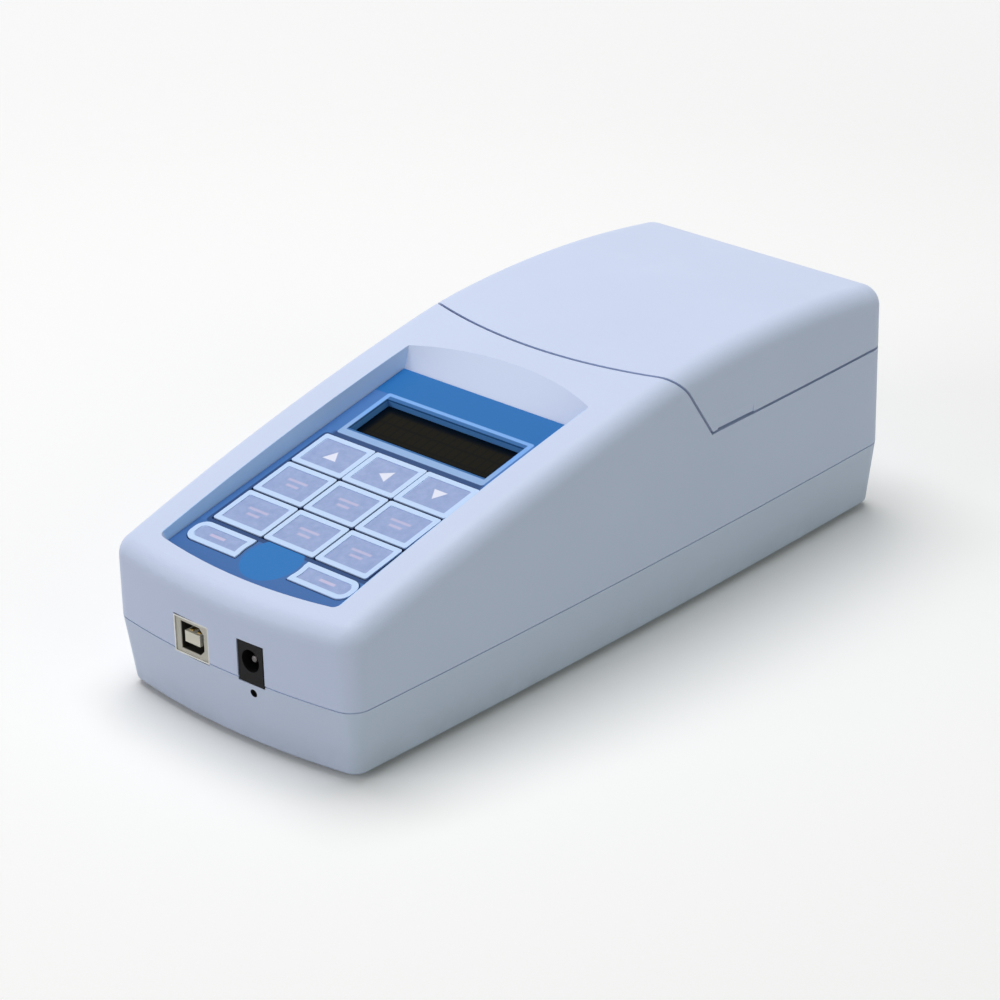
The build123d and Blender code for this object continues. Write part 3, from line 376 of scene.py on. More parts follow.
# painted light: the printed line is painted paler below the display than above it
lit_line_color = overlay.mix(along.below(DISPLAY_S - 4.0, 8.0), SKY, LIT_LINE_ICE)
line = from_box(across, along - LINE_S, LINE_HALF_X, LINE_HALF_S, 0.8)
inside_line = from_box(across, along - WITHIN_S, WITHIN_HALF_X, WITHIN_HALF_S, 0.3)
for mask, layer in (
    (field.below(0.0, 0.3), BLUE_DEEP),
    (arrow_row, SKY),
    (along.below(FOOT_STRIP_S, 0.4), FOOT_BLUE),
    (from_disc.below(DISC_RADIUS, 0.4), DISC_BLUE),
    (along.above(TITLE_STRIP_S, 0.5), BLUE_BRIGHT),
    (gap_to_keys, BLUE_DEEP),
    (line.below(0.0, 0.3), lit_line_color),
    (inside_line.below(0.0, 0.3), BLUE_MUTED),
):
    color = overlay.mix(mask, color, layer)
overlay.color(color)
weave = overlay.noise(1800, 2)
overlay.roughness(weave * 0.14 + ink * 0.08 + 0.28)
overlay.bump(weave, 0.2, 0.00005)
overlay.on("keypad_overlay")
print("overlay printed")

# %% [markdown]
# The nine square keys repeat on a grid, so one material serves them all: the place within a key is
# the place on the panel less the middle of its grid square. The pads are grey-lilac inside pale
# borders. The sides of the keys are painted dark, as painted shade in the gaps between them, except in
# the top row. The top row has plain arrows, and the other keys have a long and a short bar.

# %% Key grid
PITCH_X, PITCH_S, GRID_S = 19.0, 15.0, 13.9
KEY_ICE = (0.545, 0.700, 0.955)
PAD = (0.265, 0.345, 0.595)
PAD_LIGHT = (0.345, 0.430, 0.690)
MARK = (0.780, 0.800, 0.930)
MARK_SOFT = (0.660, 0.570, 0.760)
KEY_GAP_SHADE = (0.060, 0.090, 0.220)
PAD_HALF_X, PAD_HALF_S = 7.5, 5.4
KEY_HALF_S, ROW_HALF_X = 6.0, 26.5
ARROW_HALF = 1.9
BAR_FROM_MIDDLE, SHORT_BAR, LONGER_BY = 1.1, 2.2, 1.3


def key_color(finish, pad, gap_shade, worn=0.0):
    """Pale key with a clouded pad and sides painted dark as painted shade, made smoother by worn;
    returns its colour.
    """
    mottle = finish.noise(420, 4, 0.6)
    pads = finish.mix(mottle.above(0.5, 0.5), PAD, PAD_LIGHT)
    touch = finish.noise(900, 3)
    finish.roughness(touch * 0.16 + 0.34 - pad * worn)
    finish.bump(touch, 0.2, 0.00006)
    return finish.mix(gap_shade, finish.mix(pad, KEY_ICE, pads), KEY_GAP_SHADE)


def triangle(tip, side, half):
    """Mask of a triangle that points along tip; half is half its height."""
    return tip.above(-half, 0.25) * side.size().below((tip * -0.62) + half * 0.62, 0.25)


key_finish = Finish("key_plastic", KEY_ICE, 0.42, Specular_IOR_Level=0.2)
across, along, out = panel_axes(key_finish)
column = (across / PITCH_X).math("ROUND")
row = ((along - GRID_S) / PITCH_S).math("FLOOR")
key_x = across - column * PITCH_X
key_s = along - GRID_S - (row + 0.5) * PITCH_S
pad = from_box(key_x, key_s, PAD_HALF_X, PAD_HALF_S, 0.6).below(0.0, 0.35)
top_row = row.above(1.5, 0.1)
pale_side = top_row * key_s.size().below(KEY_HALF_S, 0.3) * across.size().below(ROW_HALF_X, 0.3)
# painted shade: key sides below the top are darkened as shade in the gaps, except in the top row
color = key_color(key_finish, pad, out.below(0.55, 0.25) * (1.0 - pale_side), worn=0.06)
on_top = out.above(0.6, 0.1)
points_up = triangle(key_s, key_x, ARROW_HALF) * column.below(-0.5, 0.1)
points_left = triangle(key_x * -1.0, key_s, ARROW_HALF) * column.within(-0.5, 0.5, 0.1)
points_down = triangle(key_s * -1.0, key_x, ARROW_HALF) * column.above(0.5, 0.1)
arrows = (points_up + points_left + points_down) * top_row * on_top
color = key_finish.mix(arrows, color, MARK)
bar_reach = key_s.above(0.0, 0.1) * LONGER_BY + SHORT_BAR
bar_end = (key_x.size() - bar_reach).below(0.0, 0.6)
bars = (key_s.size() - BAR_FROM_MIDDLE).size().below(0.45, 0.4) * bar_end
color = key_finish.mix(bars * (1.0 - top_row) * on_top * 0.55, color, MARK_SOFT)
key_finish.color(color)
grid_names = [name for name in nodes if name.startswith(("arrow_key_", "middle_key_", "lower_key_"))]
key_finish.on(*grid_names)
print("grid keys finished:", len(grid_names))

# %% [markdown]
# The two bottom keys are mirror images, round outside and hollowed towards the disc between them.
# Taking the size of the across coordinate folds one side onto the other, so a single drawing gives
# both. The pad follows the key's outline at a steady distance: inside the rounded end, and outside
# the circle of the hollow.

# %% Bottom keys
END_X, END_HALF_X, END_HALF_S, END_RADIUS = 17.6, 12.0, 4.1, 3.9
PAD_MARGIN, PAD_FROM_DISC = 1.7, 11.6
BAR_LOW_X, BAR_HIGH_X = 17.5, 23.0

end_finish = Finish("end_key_plastic", KEY_ICE, 0.42, Specular_IOR_Level=0.2)
across, along, out = panel_axes(end_finish)
folded = across.size()
end_s = along - END_KEYS_S
rounded_end = from_box(folded - END_X, end_s, END_HALF_X, END_HALF_S, END_RADIUS)
from_disc = (folded * folded + end_s * end_s).math("SQRT")
pad = rounded_end.below(-PAD_MARGIN, 0.35) * from_disc.above(PAD_FROM_DISC, 0.35)
# painted shade: the sides of the bottom keys below their top are darkened as shade in the gaps
color = key_color(end_finish, pad, out.below(0.55, 0.25))
bar = end_s.size().below(0.5, 0.25) * folded.within(BAR_LOW_X, BAR_HIGH_X, 0.5)
color = end_finish.mix(bar * out.above(0.6, 0.1) * 0.7, color, MARK_SOFT)
end_finish.color(color)
end_finish.on("end_key_left", "end_key_right")

dome_finish = Finish("dome_sheet_film", (0.02, 0.05, 0.16), 0.5)
dome_finish.clouded(300, 3, (0.015, 0.04, 0.13), (0.03, 0.07, 0.2))
dome_finish.on("dome_sheet")
print("bottom keys and dome sheet finished")

# %% [markdown]
# The window is a tinted sheet at the foot of its opening, and behind it the switched-off display is
# almost black, with a slightly brown cast inside and a bluish one along its edge. A faint lattice of
# cells shows in a real one when it is off. The gloss is kept low, because the photograph shows no
# reflection there.

# %% Display window
CELL_X, CELL_S = 2.9, 5.2
LIT_HALF_X, LIT_HALF_S = 22.0, 5.0
GLASS_WARM = (0.0075, 0.0070, 0.0045)
GLASS_NAVY = (0.001, 0.004, 0.009)
CELL_BLACK = (0.0095, 0.0085, 0.0050)

window = Finish("display_glass", (0.006, 0.006, 0.005), 0.22, Specular_IOR_Level=0.02)
across, along, out = panel_axes(window)
cell_columns = (across / CELL_X).math("FRACT").within(0.10, 0.90, 0.08)
cells = cell_columns * (along / CELL_S).math("FRACT").within(0.08, 0.92, 0.06)
lit_area = from_box(across, along - DISPLAY_S, LIT_HALF_X, LIT_HALF_S, 0.3)
edge_cast = window.mix(lit_area.above(0.5, 3.0), GLASS_WARM, GLASS_NAVY)
window.color(window.mix(lit_area.below(0.0, 0.3) * cells, edge_cast, CELL_BLACK))
window.uneven(500, 3, 0.10, 0.18)
window.bump(window.noise(3000, 2), 0.1, 0.00003)
window.on("display_window")
module_finish = Finish("display_module_frame", (0.02, 0.02, 0.022), 0.4, Metallic=0.4)
module_finish.uneven(220, 4, 0.3, 0.25)
module_finish.on("display_module")
print("display finished")

# %% [markdown]
# The data socket has a pressed metal shell round a moulded insert. Deep in the socket it is dark, and
# only the tongue in its middle is pale. Light falls off with depth in such a narrow slot faster than
# plain shading shows, so the insert's colour also darkens with its depth. The metal has fine lines
# along the direction in which it was drawn.

# %% Data socket
USB_X, USB_Z, USB_FACE_Y = -10.8, 25.7, -111.325
TONGUE_HALF_X, TONGUE_HALF_Z = 2.95, 1.75
SLOT_HALF_X, SLOT_HALF_Z = 4.4, 4.1

shell = Finish("socket_metal", (0.62, 0.62, 0.60), 0.3, Metallic=1.0)
lines = shell.noise(600, 3, 0.5, shell.stretched(1.0, 0.08, 1.0))
shell.color(shell.mix(lines, (0.50, 0.50, 0.49), (0.70, 0.70, 0.68)))
shell.roughness(lines * 0.25 + 0.2)
shell.on("usb_shell")
insert = Finish("socket_insert", (0.70, 0.68, 0.58), 0.4)
x, y, z = insert.axes()
tongue = from_box(x - USB_X, z - USB_Z, TONGUE_HALF_X, TONGUE_HALF_Z, 0.1).below(0.0, 0.15)
slot = from_box(x - USB_X, z - USB_Z, SLOT_HALF_X, SLOT_HALF_Z, 0.1).below(0.0, 0.15)
depth = y.above(USB_FACE_Y + 0.25, 0.3)
color = insert.mix(insert.noise(200, 3), (0.50, 0.49, 0.43), (0.58, 0.56, 0.49))
color = insert.mix(slot * (1.0 - tongue) * depth, color, (0.018, 0.018, 0.016))
color = insert.mix(tongue, color, (0.74, 0.72, 0.62))
color = insert.mix((y - USB_FACE_Y).above(4.5, 7.0) * slot, color, (0.05, 0.05, 0.045))
insert.color(color)
insert.uneven(700, 2, 0.2, 0.35)
insert.on("usb_insert")
contact_finish = Finish("contact_gold", (0.85, 0.62, 0.25), 0.3, Metallic=1.0)
contact_finish.uneven(900, 3, 0.3, 0.18)
contact_finish.on("usb_contacts")
print("data socket finished")

# %% [markdown]
# The power socket is one black moulding, and the charge light's guide below it looks black too while
# the light is off. Black plastic is hardly ever pure black: a little roughness noise keeps the face
# from looking like a hole in the picture.

# %% Power socket and charge light
black = Finish("socket_black", (0.006, 0.006, 0.007), 0.45, Specular_IOR_Level=0.12)
black.clouded(500, 3, (0.004, 0.004, 0.005), (0.010, 0.010, 0.011))
black.uneven(1200, 3, 0.25, 0.35)
black.on("power_jack")
guide = Finish("light_guide_plastic", (0.02, 0.02, 0.022), 0.2, Specular_IOR_Level=0.3)
guide.clouded(800, 2, (0.012, 0.012, 0.014), (0.030, 0.030, 0.034))
guide.on("light_guide")
pin = Finish("jack_pin_metal", (0.16, 0.15, 0.15), 0.5, Metallic=1.0)
pin.uneven(900, 3, 0.2, 0.4)
pin.on("jack_pin")
led = Finish("charge_light_body", (0.62, 0.62, 0.50), 0.3)
led.clouded(700, 2, (0.55, 0.55, 0.42), (0.70, 0.70, 0.60))
led.on("charge_light")
print("power socket finished")

# %% [markdown]
# Small screws repeat, so Geometry Nodes make them: one screw is drawn in the node tree, and copies
# stand on a few points. The helper below keeps such a tree readable. It gives the tree named inputs,
# links nodes as they are added, and at the end turns the evaluated result into a plain mesh, because
# only plain meshes are carried into other programs.

# %% Geometry Nodes helper
class Growth:
    """A Geometry Nodes tree under construction."""

    def __init__(self, name, **inputs):
        self.tree = bpy.data.node_groups.new(name, "GeometryNodeTree")
        face = self.tree.interface
        face.new_socket("Geometry", in_out="INPUT", socket_type="NodeSocketGeometry")
        self.inputs = inputs
        self.keys = {}
        for label, value in inputs.items():
            kind = "NodeSocketInt" if isinstance(value, int) else "NodeSocketFloat"
            self.keys[label] = face.new_socket(label, in_out="INPUT", socket_type=kind).identifier
        face.new_socket("Geometry", in_out="OUTPUT", socket_type="NodeSocketGeometry")
        self.entry = self.tree.nodes.new("NodeGroupInput").outputs

    def node(self, kind, settings=None, named=None):
        """Adds a node with its settings, then its values or links, and returns it."""
        node = self.tree.nodes.new(kind)
        for key, value in (settings or {}).items():
            setattr(node, key, value)
        for index, value in (named or {}).items():
            several = value if isinstance(value, list) else [value]
            for item in several:
                if isinstance(item, bpy.types.NodeSocket):
                    self.tree.links.new(item, node.inputs[index])
                else:
                    node.inputs[index].default_value = item
        return node

    def maths(self, operation, first, second=0.0):
        return self.node("ShaderNodeMath", {"operation": operation}, {0: first, 1: second}).outputs[0]

    def times(self, first, second):
        return self.maths("MULTIPLY", first, second)

    def vector(self, x=0.0, y=0.0, z=0.0):
        return self.node("ShaderNodeCombineXYZ", None, {0: x, 1: y, 2: z}).outputs[0]

    def moved(self, geometry, x=0.0, y=0.0, z=0.0, turn=(0, 0, 0)):
        named = {"Geometry": geometry, "Translation": self.vector(x, y, z), "Rotation": turn}
        return self.node("GeometryNodeTransform", None, named).outputs[0]

    def joined(self, *parts):
        return self.node("GeometryNodeJoinGeometry", None, {"Geometry": list(parts)}).outputs[0]

    def copies(self, points, instance, turn=(0, 0, 0)):
        named = {"Points": points, "Instance": instance, "Rotation": turn}
        return self.node("GeometryNodeInstanceOnPoints", None, named).outputs[0]

    def close(self, geometry, material):
        """Ends the tree: real geometry with its material."""
        real = self.node("GeometryNodeRealizeInstances", None, {"Geometry": geometry}).outputs[0]
        named = {"Geometry": real, "Material": material}
        done = self.node("GeometryNodeSetMaterial", None, named).outputs[0]
        exit_node = self.tree.nodes.new("NodeGroupOutput")
        self.tree.links.new(done, exit_node.inputs["Geometry"])

    def grow(self, name, places, body, slot, **values):
        """Makes one piece from the tree on the given places, in metres."""
        seed = bpy.data.meshes.new(name + "_places")
        seed.from_pydata([tuple(place) for place in places], [], [])
        piece = bpy.data.objects.new(name, seed)
        bpy.context.collection.objects.link(piece)
        modifier = piece.modifiers.new("growth", "NODES")
        modifier.node_group = self.tree
        for label, value in {**self.inputs, **values}.items():
            modifier[self.keys[label]] = value
        graph = bpy.context.evaluated_depsgraph_get()
        mesh = bpy.data.meshes.new_from_object(piece.evaluated_get(graph))
        piece.modifiers.clear()
        piece.data = mesh
        mesh.name = name
        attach(piece, body)
        print(name, "has", len(mesh.polygons), "faces")
        return piece


print("geometry helper ready")

# %% [markdown]
# Screw steel is bright but handled, with turning marks and a slight blur. The same metal serves the
# hinge pin, which is drawn wire and has its lines along its length.

# %% Screw steel
def turned_metal(name, low, high, stretch, gloss):
    """Metal with fine machining lines; stretch shortens the axis along which they run."""
    finish = Finish(name, high, gloss, Metallic=1.0)
    marks = finish.noise(1500, 3, 0.5, finish.stretched(*stretch))
    finish.color(finish.mix(marks, low, high))
    finish.roughness(marks * 0.2 + gloss)
    finish.bump(marks, 0.15, 0.00004)
    return finish


steel = turned_metal("screw_steel", (0.42, 0.42, 0.43), (0.64, 0.64, 0.65), (1, 1, 0.2), 0.24)
pin_steel = turned_metal("pin_steel", (0.46, 0.46, 0.47), (0.66, 0.66, 0.67), (0.05, 1, 1), 0.2)
pin_steel.on("hinge_pin")
print("steel ready")

# %% [markdown]
# A pan-head screw has a domed head with a cross recess and a shank with rings of thread. The head is
# a cylinder with rings round its side, drawn in towards its top by a smooth formula, and the recess
# is cut with two crossed bars. The thread is a cylinder whose rings swell and shrink. Cutting with
# Mesh Boolean keeps the head one closed form.

# %% Screws
screw_tree = Growth("pan_head_screw", Head_radius=0.0028, Head_height=0.002, Shank_radius=0.0015,
                    Shank_length=0.012, Thread_pitch=0.0008, Turned=0.0)
sizes = {label: screw_tree.entry[label] for label in screw_tree.inputs}


def point_place(tree):
    """The x, y and z of each point, read where the mesh stands."""
    position = tree.node("GeometryNodeInputPosition").outputs[0]
    return tree.node("ShaderNodeSeparateXYZ", None, {0: position}).outputs


def drawn_in(tree, mesh, factor):
    """Scales a round mesh about its axis by a factor that may vary with height."""
    x, y, z = point_place(tree)
    moved = tree.vector(tree.times(x, factor), tree.times(y, factor), z)
    return tree.node("GeometryNodeSetPosition", None, {"Geometry": mesh, "Position": moved}).outputs[0]


head = screw_tree.node("GeometryNodeMeshCylinder", None, {
    "Vertices": 36, "Side Segments": 7,
    "Radius": sizes["Head_radius"], "Depth": sizes["Head_height"]}).outputs[0]
head = screw_tree.moved(head, z=screw_tree.times(sizes["Head_height"], 0.5))
share = screw_tree.maths("DIVIDE", point_place(screw_tree)[2], sizes["Head_height"])
curve = screw_tree.times(screw_tree.maths("POWER", share, 4.0), 0.24)
head = drawn_in(screw_tree, head, screw_tree.maths("SUBTRACT", 1.0, curve))
arm = screw_tree.times(sizes["Head_radius"], 1.15)
arm_width = screw_tree.times(sizes["Head_radius"], 0.24)
bars = []
for long_side, short_side in ((arm, arm_width), (arm_width, arm)):
    bar = screw_tree.node("GeometryNodeMeshCube", None, {
        "Size": screw_tree.vector(long_side, short_side, sizes["Head_height"])}).outputs[0]
    bars.append(screw_tree.moved(bar, z=screw_tree.times(sizes["Head_height"], 0.95)))
head = screw_tree.node("GeometryNodeMeshBoolean", {"operation": "DIFFERENCE", "solver": "EXACT"},
                       {"Mesh 1": head, "Mesh 2": bars}).outputs[0]
shank = screw_tree.node("GeometryNodeMeshCylinder", None, {
    "Vertices": 20, "Side Segments": 48,
    "Radius": sizes["Shank_radius"], "Depth": sizes["Shank_length"]}).outputs[0]
shank = screw_tree.moved(shank, z=screw_tree.times(sizes["Shank_length"], -0.5))
turns = screw_tree.maths("DIVIDE", point_place(screw_tree)[2], sizes["Thread_pitch"])
wave = screw_tree.maths("SINE", screw_tree.times(turns, math.pi))
groove = screw_tree.times(screw_tree.maths("ABSOLUTE", wave), 0.12)
shank = drawn_in(screw_tree, shank, screw_tree.maths("SUBTRACT", 1.0, groove))
standing = screw_tree.copies(screw_tree.entry["Geometry"], screw_tree.joined(head, shank),
                             screw_tree.vector(x=sizes["Turned"]))
screw_tree.close(standing, steel.material)
print("screw tree has", len(screw_tree.tree.nodes), "nodes")

# %% [markdown]
# Each set of screws stands where its solid stands, so the places are read from the solid's box: the
# heads of four screws touch the corners of that box. The new set replaces the solid for the eye,
# while the solid stays for weight and contact. Screws that enter from below are turned by half a
# turn.

# %% Screw sets
def corner_places(node, inset, height):
    """Four places one inset inside the corners of a node's box, at a height in metres."""
    low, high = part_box(node)
    xs, ys = [(low[axis] + inset, high[axis] - inset) for axis in (0, 1)]
    return [(x, y, height) for x in xs for y in ys]


def head_of(node, at_top, head_height):
    """Height of the face under the heads of a node's screws."""
    low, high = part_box(node)
    return high[2] - head_height if at_top else low[2] + head_height


for node, radius, height, shank, length, at_top in (
    ("case_screws", 2.8, 2.0, 1.5, 22.7, False),
    ("deck_screws", 2.2, 0.8, 1.2, 5.4, True),
    ("board_screws", 2.2, 1.6, 1.2, 5.4, True),
):
    places = corner_places(node, radius * MM, head_of(node, at_top, height * MM))
    piece = screw_tree.grow(node + "_set", places, "case", "screw_steel", Head_radius=radius * MM,
                            Head_height=height * MM, Shank_radius=shank * MM, Shank_length=length * MM,
                            Turned=0.0 if at_top else math.pi)
    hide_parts(node)
COVER_HEAD = 0.8 * MM
low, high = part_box("battery_cover_screw")
middle = ((low[0] + high[0]) / 2, (low[1] + high[1]) / 2, low[2] + COVER_HEAD)
piece = screw_tree.grow("battery_cover_screw_set", [middle], "case", "screw_steel",
                        Head_radius=2.2 * MM, Head_height=COVER_HEAD, Shank_radius=1.2 * MM,
                        Shank_length=4.7 * MM, Turned=math.pi)
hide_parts("battery_cover_screw")

# %% [markdown]
# The battery cover is pushed with a thumb, so its recess has a few ridges. They are thin round bars
# with domed ends in a row: a Mesh Line gives their places, and each is a stretched ball, half sunk in
# the floor of the recess.

# %% Thumb ridges
ridge_tree = Growth("thumb_ridges", Count=4, Spacing=0.0011, Length=0.016, Width=0.0006, Height=0.0008)
steps = ridge_tree.maths("SUBTRACT", ridge_tree.entry["Count"], 1.0)
row_length = ridge_tree.times(steps, ridge_tree.entry["Spacing"])
row_start = ridge_tree.times(row_length, -0.5)
row = ridge_tree.node("GeometryNodeMeshLine", None, {
    "Count": ridge_tree.entry["Count"], "Start Location": ridge_tree.vector(y=row_start),
    "Offset": ridge_tree.vector(y=ridge_tree.entry["Spacing"])}).outputs[0]
ball = ridge_tree.node("GeometryNodeMeshUVSphere", None, {
    "Segments": 20, "Rings": 12, "Radius": 0.5}).outputs[0]
bar = ridge_tree.node("GeometryNodeTransform", None, {"Geometry": ball, "Scale": ridge_tree.vector(
    ridge_tree.entry["Length"], ridge_tree.entry["Width"], ridge_tree.entry["Height"])}).outputs[0]
ridges = ridge_tree.copies(row, bar)
ridge_tree.close(ridge_tree.copies(ridge_tree.entry["Geometry"], ridges), shell_finish.material)
COVER_RECESS = (0, -53.725 * MM, 2.5 * MM)
ridge_tree.grow("cover_thumb_ridges", [COVER_RECESS], "case", "case_plastic")

# %% [markdown]
# Under the lid lies the sample deck. It is dark, so that stray light doesn't reach the well, and
# slightly textured. The block below it is darker still, with a matt black that swallows light. A
# white line on the neck of the well shows the user how to turn the vial.

# %% Sample deck and optical block
WELL_Y = 52.075
NECK_FRONT, NECK_TOP_Z = 12.0, 46.6
deck = Finish("deck_plastic", (0.045, 0.047, 0.052), 0.55)
deck.clouded(60, 4, (0.038, 0.040, 0.045), (0.056, 0.058, 0.064))
grain = deck.noise(1500, 2)
deck.roughness(grain * 0.2 + 0.45)
deck.bump(grain, 0.4, 0.0001)
deck.on("sample_deck")
block = Finish("optical_black", (0.012, 0.012, 0.013), 0.7)
x, y, z = block.axes()
turning = block.noise(2200, 2, 0.5, block.stretched(0.2, 0.2, 1.0))
color = block.mix(turning, (0.009, 0.009, 0.010), (0.018, 0.018, 0.020))
on_neck = y.below(WELL_Y - NECK_FRONT, 0.2) * z.above(NECK_TOP_Z, 0.2)
index_line = x.size().below(0.45, 0.15) * on_neck
block.color(block.mix(index_line, color, (0.72, 0.74, 0.76)))
block.roughness(turning * 0.2 + 0.55)
block.bump(turning, 0.2, 0.00006)
block.on("cell_holder")
foam = Finish("seal_foam", (0.03, 0.03, 0.032), 0.9)
pores = foam.noise(1600, 4, 0.7)
foam.color(foam.mix(pores, (0.018, 0.018, 0.020), (0.050, 0.050, 0.054)))
foam.bump(pores, 0.6, 0.0002)
foam.roughness(pores * 0.2 + 0.75)
foam.on("light_seal")
print("deck, block and seal finished")

# %% [markdown]
# A small raised pointer on the deck stands in line with the white line. It is a plate with a
# triangular outline and a rounded top edge. Few faces are needed, so it is drawn point by point and
# a bevel softens its edges.

# %% Vial pointer
def prism(name, outline, low, high, bevel, finish, body):
    """Closed plate with a given outline and softened edges, riding on a body."""
    mesh = bpy.data.meshes.new(name)
    shape = bmesh.new()
    floor_face = shape.faces.new([shape.verts.new((x, y, low)) for x, y in outline])
    raised = bmesh.ops.extrude_face_region(shape, geom=[floor_face])["geom"]
    for vertex in [item for item in raised if isinstance(item, bmesh.types.BMVert)]:
        vertex.co.z = high
    bmesh.ops.recalc_face_normals(shape, faces=shape.faces)
    edges = [edge for edge in shape.edges if any(vertex.co.z > low for vertex in edge.verts)]
    bmesh.ops.bevel(shape, geom=edges, offset=bevel, segments=3, profile=0.5, affect="EDGES")
    shape.to_mesh(mesh)
    shape.free()
    mesh.materials.append(finish.material)
    piece = bpy.data.objects.new(name, mesh)
    bpy.context.collection.objects.link(piece)
    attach(piece, body)
    print(name, "has", len(mesh.polygons), "faces")


POINTER_HALF, POINTER_LENGTH, POINTER_RISE = 0.0018, 0.0036, 0.0006
TIP_FROM_WELL = 16.6
pointer_paint = Finish("pointer_paint", (0.70, 0.72, 0.74), 0.5)
pointer_paint.clouded(900, 3, (0.62, 0.64, 0.66), (0.76, 0.78, 0.80))
deck_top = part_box("sample_deck")[1][2]
tip_y = (WELL_Y - TIP_FROM_WELL) * MM
base_y = tip_y - POINTER_LENGTH
prism("vial_pointer", [(-POINTER_HALF, base_y), (POINTER_HALF, base_y), (0, tip_y)],
      deck_top - 0.0001, deck_top + POINTER_RISE, 0.00015, pointer_paint, "case")

# %% [markdown]
# The optics sit in the block's round seats: a lamp with a ribbed black body, a clear lens, and two
# detectors in metal cans with a glass face. They are small and mostly hidden, but they show in an
# exploded view, so each has its own finish.

# %% Optics
lamp_body = Finish("lamp_body", (0.03, 0.03, 0.033), 0.4)
x, y, z = lamp_body.axes()
rings = (x / 1.2).math("FRACT").within(0.2, 0.8, 0.2)
lamp_body.color(lamp_body.mix(rings, (0.02, 0.02, 0.022), (0.05, 0.05, 0.055)))
lamp_body.bump(rings, 0.6, 0.0002)
lamp_body.on("lamp")
lens = Finish("lens_glass", (0.85, 0.90, 0.92), 0.05, Transmission_Weight=0.8, IOR=1.5)
lens.uneven(400, 3, 0.06, 0.03)
lens.on("beam_lens")
BEAM_Z, FACE_RADIUS = 28.5, 3.2
CAN_LOW, CAN_HIGH, GLASS_FACE = (0.55, 0.52, 0.42), (0.72, 0.70, 0.60), (0.02, 0.02, 0.035)


def detector_can(name, across_x, node):
    """Metal can with a dark glass face towards the well."""
    can = turned_metal(name, CAN_LOW, CAN_HIGH, (1, 1, 1), 0.25)
    x, y, z = can.axes()
    side = (y - WELL_Y) if across_x else x
    from_beam = (side * side + (z - BEAM_Z) * (z - BEAM_Z)).math("SQRT")
    face = from_beam.below(FACE_RADIUS, 0.2)
    can.color(can.mix(face, can.mix(can.noise(900, 3), CAN_LOW, CAN_HIGH), GLASS_FACE))
    can.feed(can.shader.inputs["Metallic"], 1.0 - face)
    can.on(node)


detector_can("detector_can_side", True, "transmitted_light_detector")
detector_can("detector_can_front", False, "scattered_light_detector")
print("optics finished")

# %% [markdown]
# A circuit board is green lacquer over copper. Copper tracks run in straight lines under the lacquer
# and show as a lighter green, and tinned pads and small drilled vias lie among them. A brick pattern
# with thin mortar gives the tracks, and a cell pattern gives the pads.

# %% Circuit boards
def circuit_board(name, lacquer, track, *targets):
    """Lacquered board with tracks, tinned pads and drilled vias."""
    finish = Finish(name, lacquer, 0.35)
    layout = {"offset": 0.35, "squash": 0.7, "squash_frequency": 3}
    brick = finish.node("ShaderNodeTexBrick", layout, named={
        "Vector": finish.place, "Scale": 190.0, "Mortar Size": 0.018, "Mortar Smooth": 0.2,
        "Brick Width": 0.9, "Row Height": 0.28}).outputs["Fac"]
    tracks = Wire(finish, brick)
    cells = finish.node("ShaderNodeTexVoronoi", {"feature": "F1"}, named={
        "Vector": finish.place, "Scale": 260.0, "Randomness": 0.6}).outputs["Distance"]
    pads = Wire(finish, cells).below(0.16, 0.04)
    drilled = Wire(finish, cells).below(0.07, 0.03)
    color = finish.mix(finish.noise(40, 3), lacquer, tuple(value * 1.2 for value in lacquer))
    color = finish.mix(tracks * 0.8, color, track)
    color = finish.mix(pads, color, (0.60, 0.58, 0.52))
    finish.color(finish.mix(drilled, color, (0.02, 0.02, 0.02)))
    finish.feed(finish.shader.inputs["Metallic"], pads * (1.0 - drilled))
    finish.bump(tracks + pads, 0.4, 0.00006)
    finish.on(*targets)


circuit_board("board_lacquer", (0.020, 0.120, 0.055), (0.05, 0.22, 0.10), "main_board", "key_board")
circuit_board("optics_board_lacquer", (0.018, 0.105, 0.050), (0.045, 0.20, 0.09), "detector_boards")
chip = Finish("chip_moulding", (0.020, 0.020, 0.022), 0.5)
chip.clouded(900, 4, (0.015, 0.015, 0.017), (0.030, 0.030, 0.033))
chip.bump(chip.noise(2500, 2), 0.3, 0.00005)
chip.on("board_chips")
print("boards finished")

# %% [markdown]
# The flat cables are rows of thin wires side by side in a pale sleeve, with one wire in another
# colour to mark the first contact. The wires are stripes of the across coordinate, and a bump with
# the same stripes makes them round.

# %% Flat cables
WIRE_PITCH, FIRST_WIRE_X = 1.0, -7.0
cable = Finish("flat_cable", (0.55, 0.55, 0.52), 0.45)
x, y, z = cable.axes()
stripe = (x / WIRE_PITCH).math("FRACT") - 0.5
ridge = 1.0 - stripe.size() * 2.0
first_wire = x.below(FIRST_WIRE_X, 0.1)
color = cable.mix(ridge.above(0.25, 0.3), (0.34, 0.34, 0.32), (0.58, 0.58, 0.55))
cable.color(cable.mix(first_wire, color, (0.42, 0.05, 0.04)))
cable.bump(ridge, 0.5, 0.0002)
cable.on("key_cable", "display_cable")
print("cables finished")

# %% [markdown]
# The battery cells have a plain printed sleeve with a lighter band, and bare metal at both ends. The
# row lies across the case, so the band and the ends are distances along x. Brass and nickel parts
# near them get a little tarnish from noise.

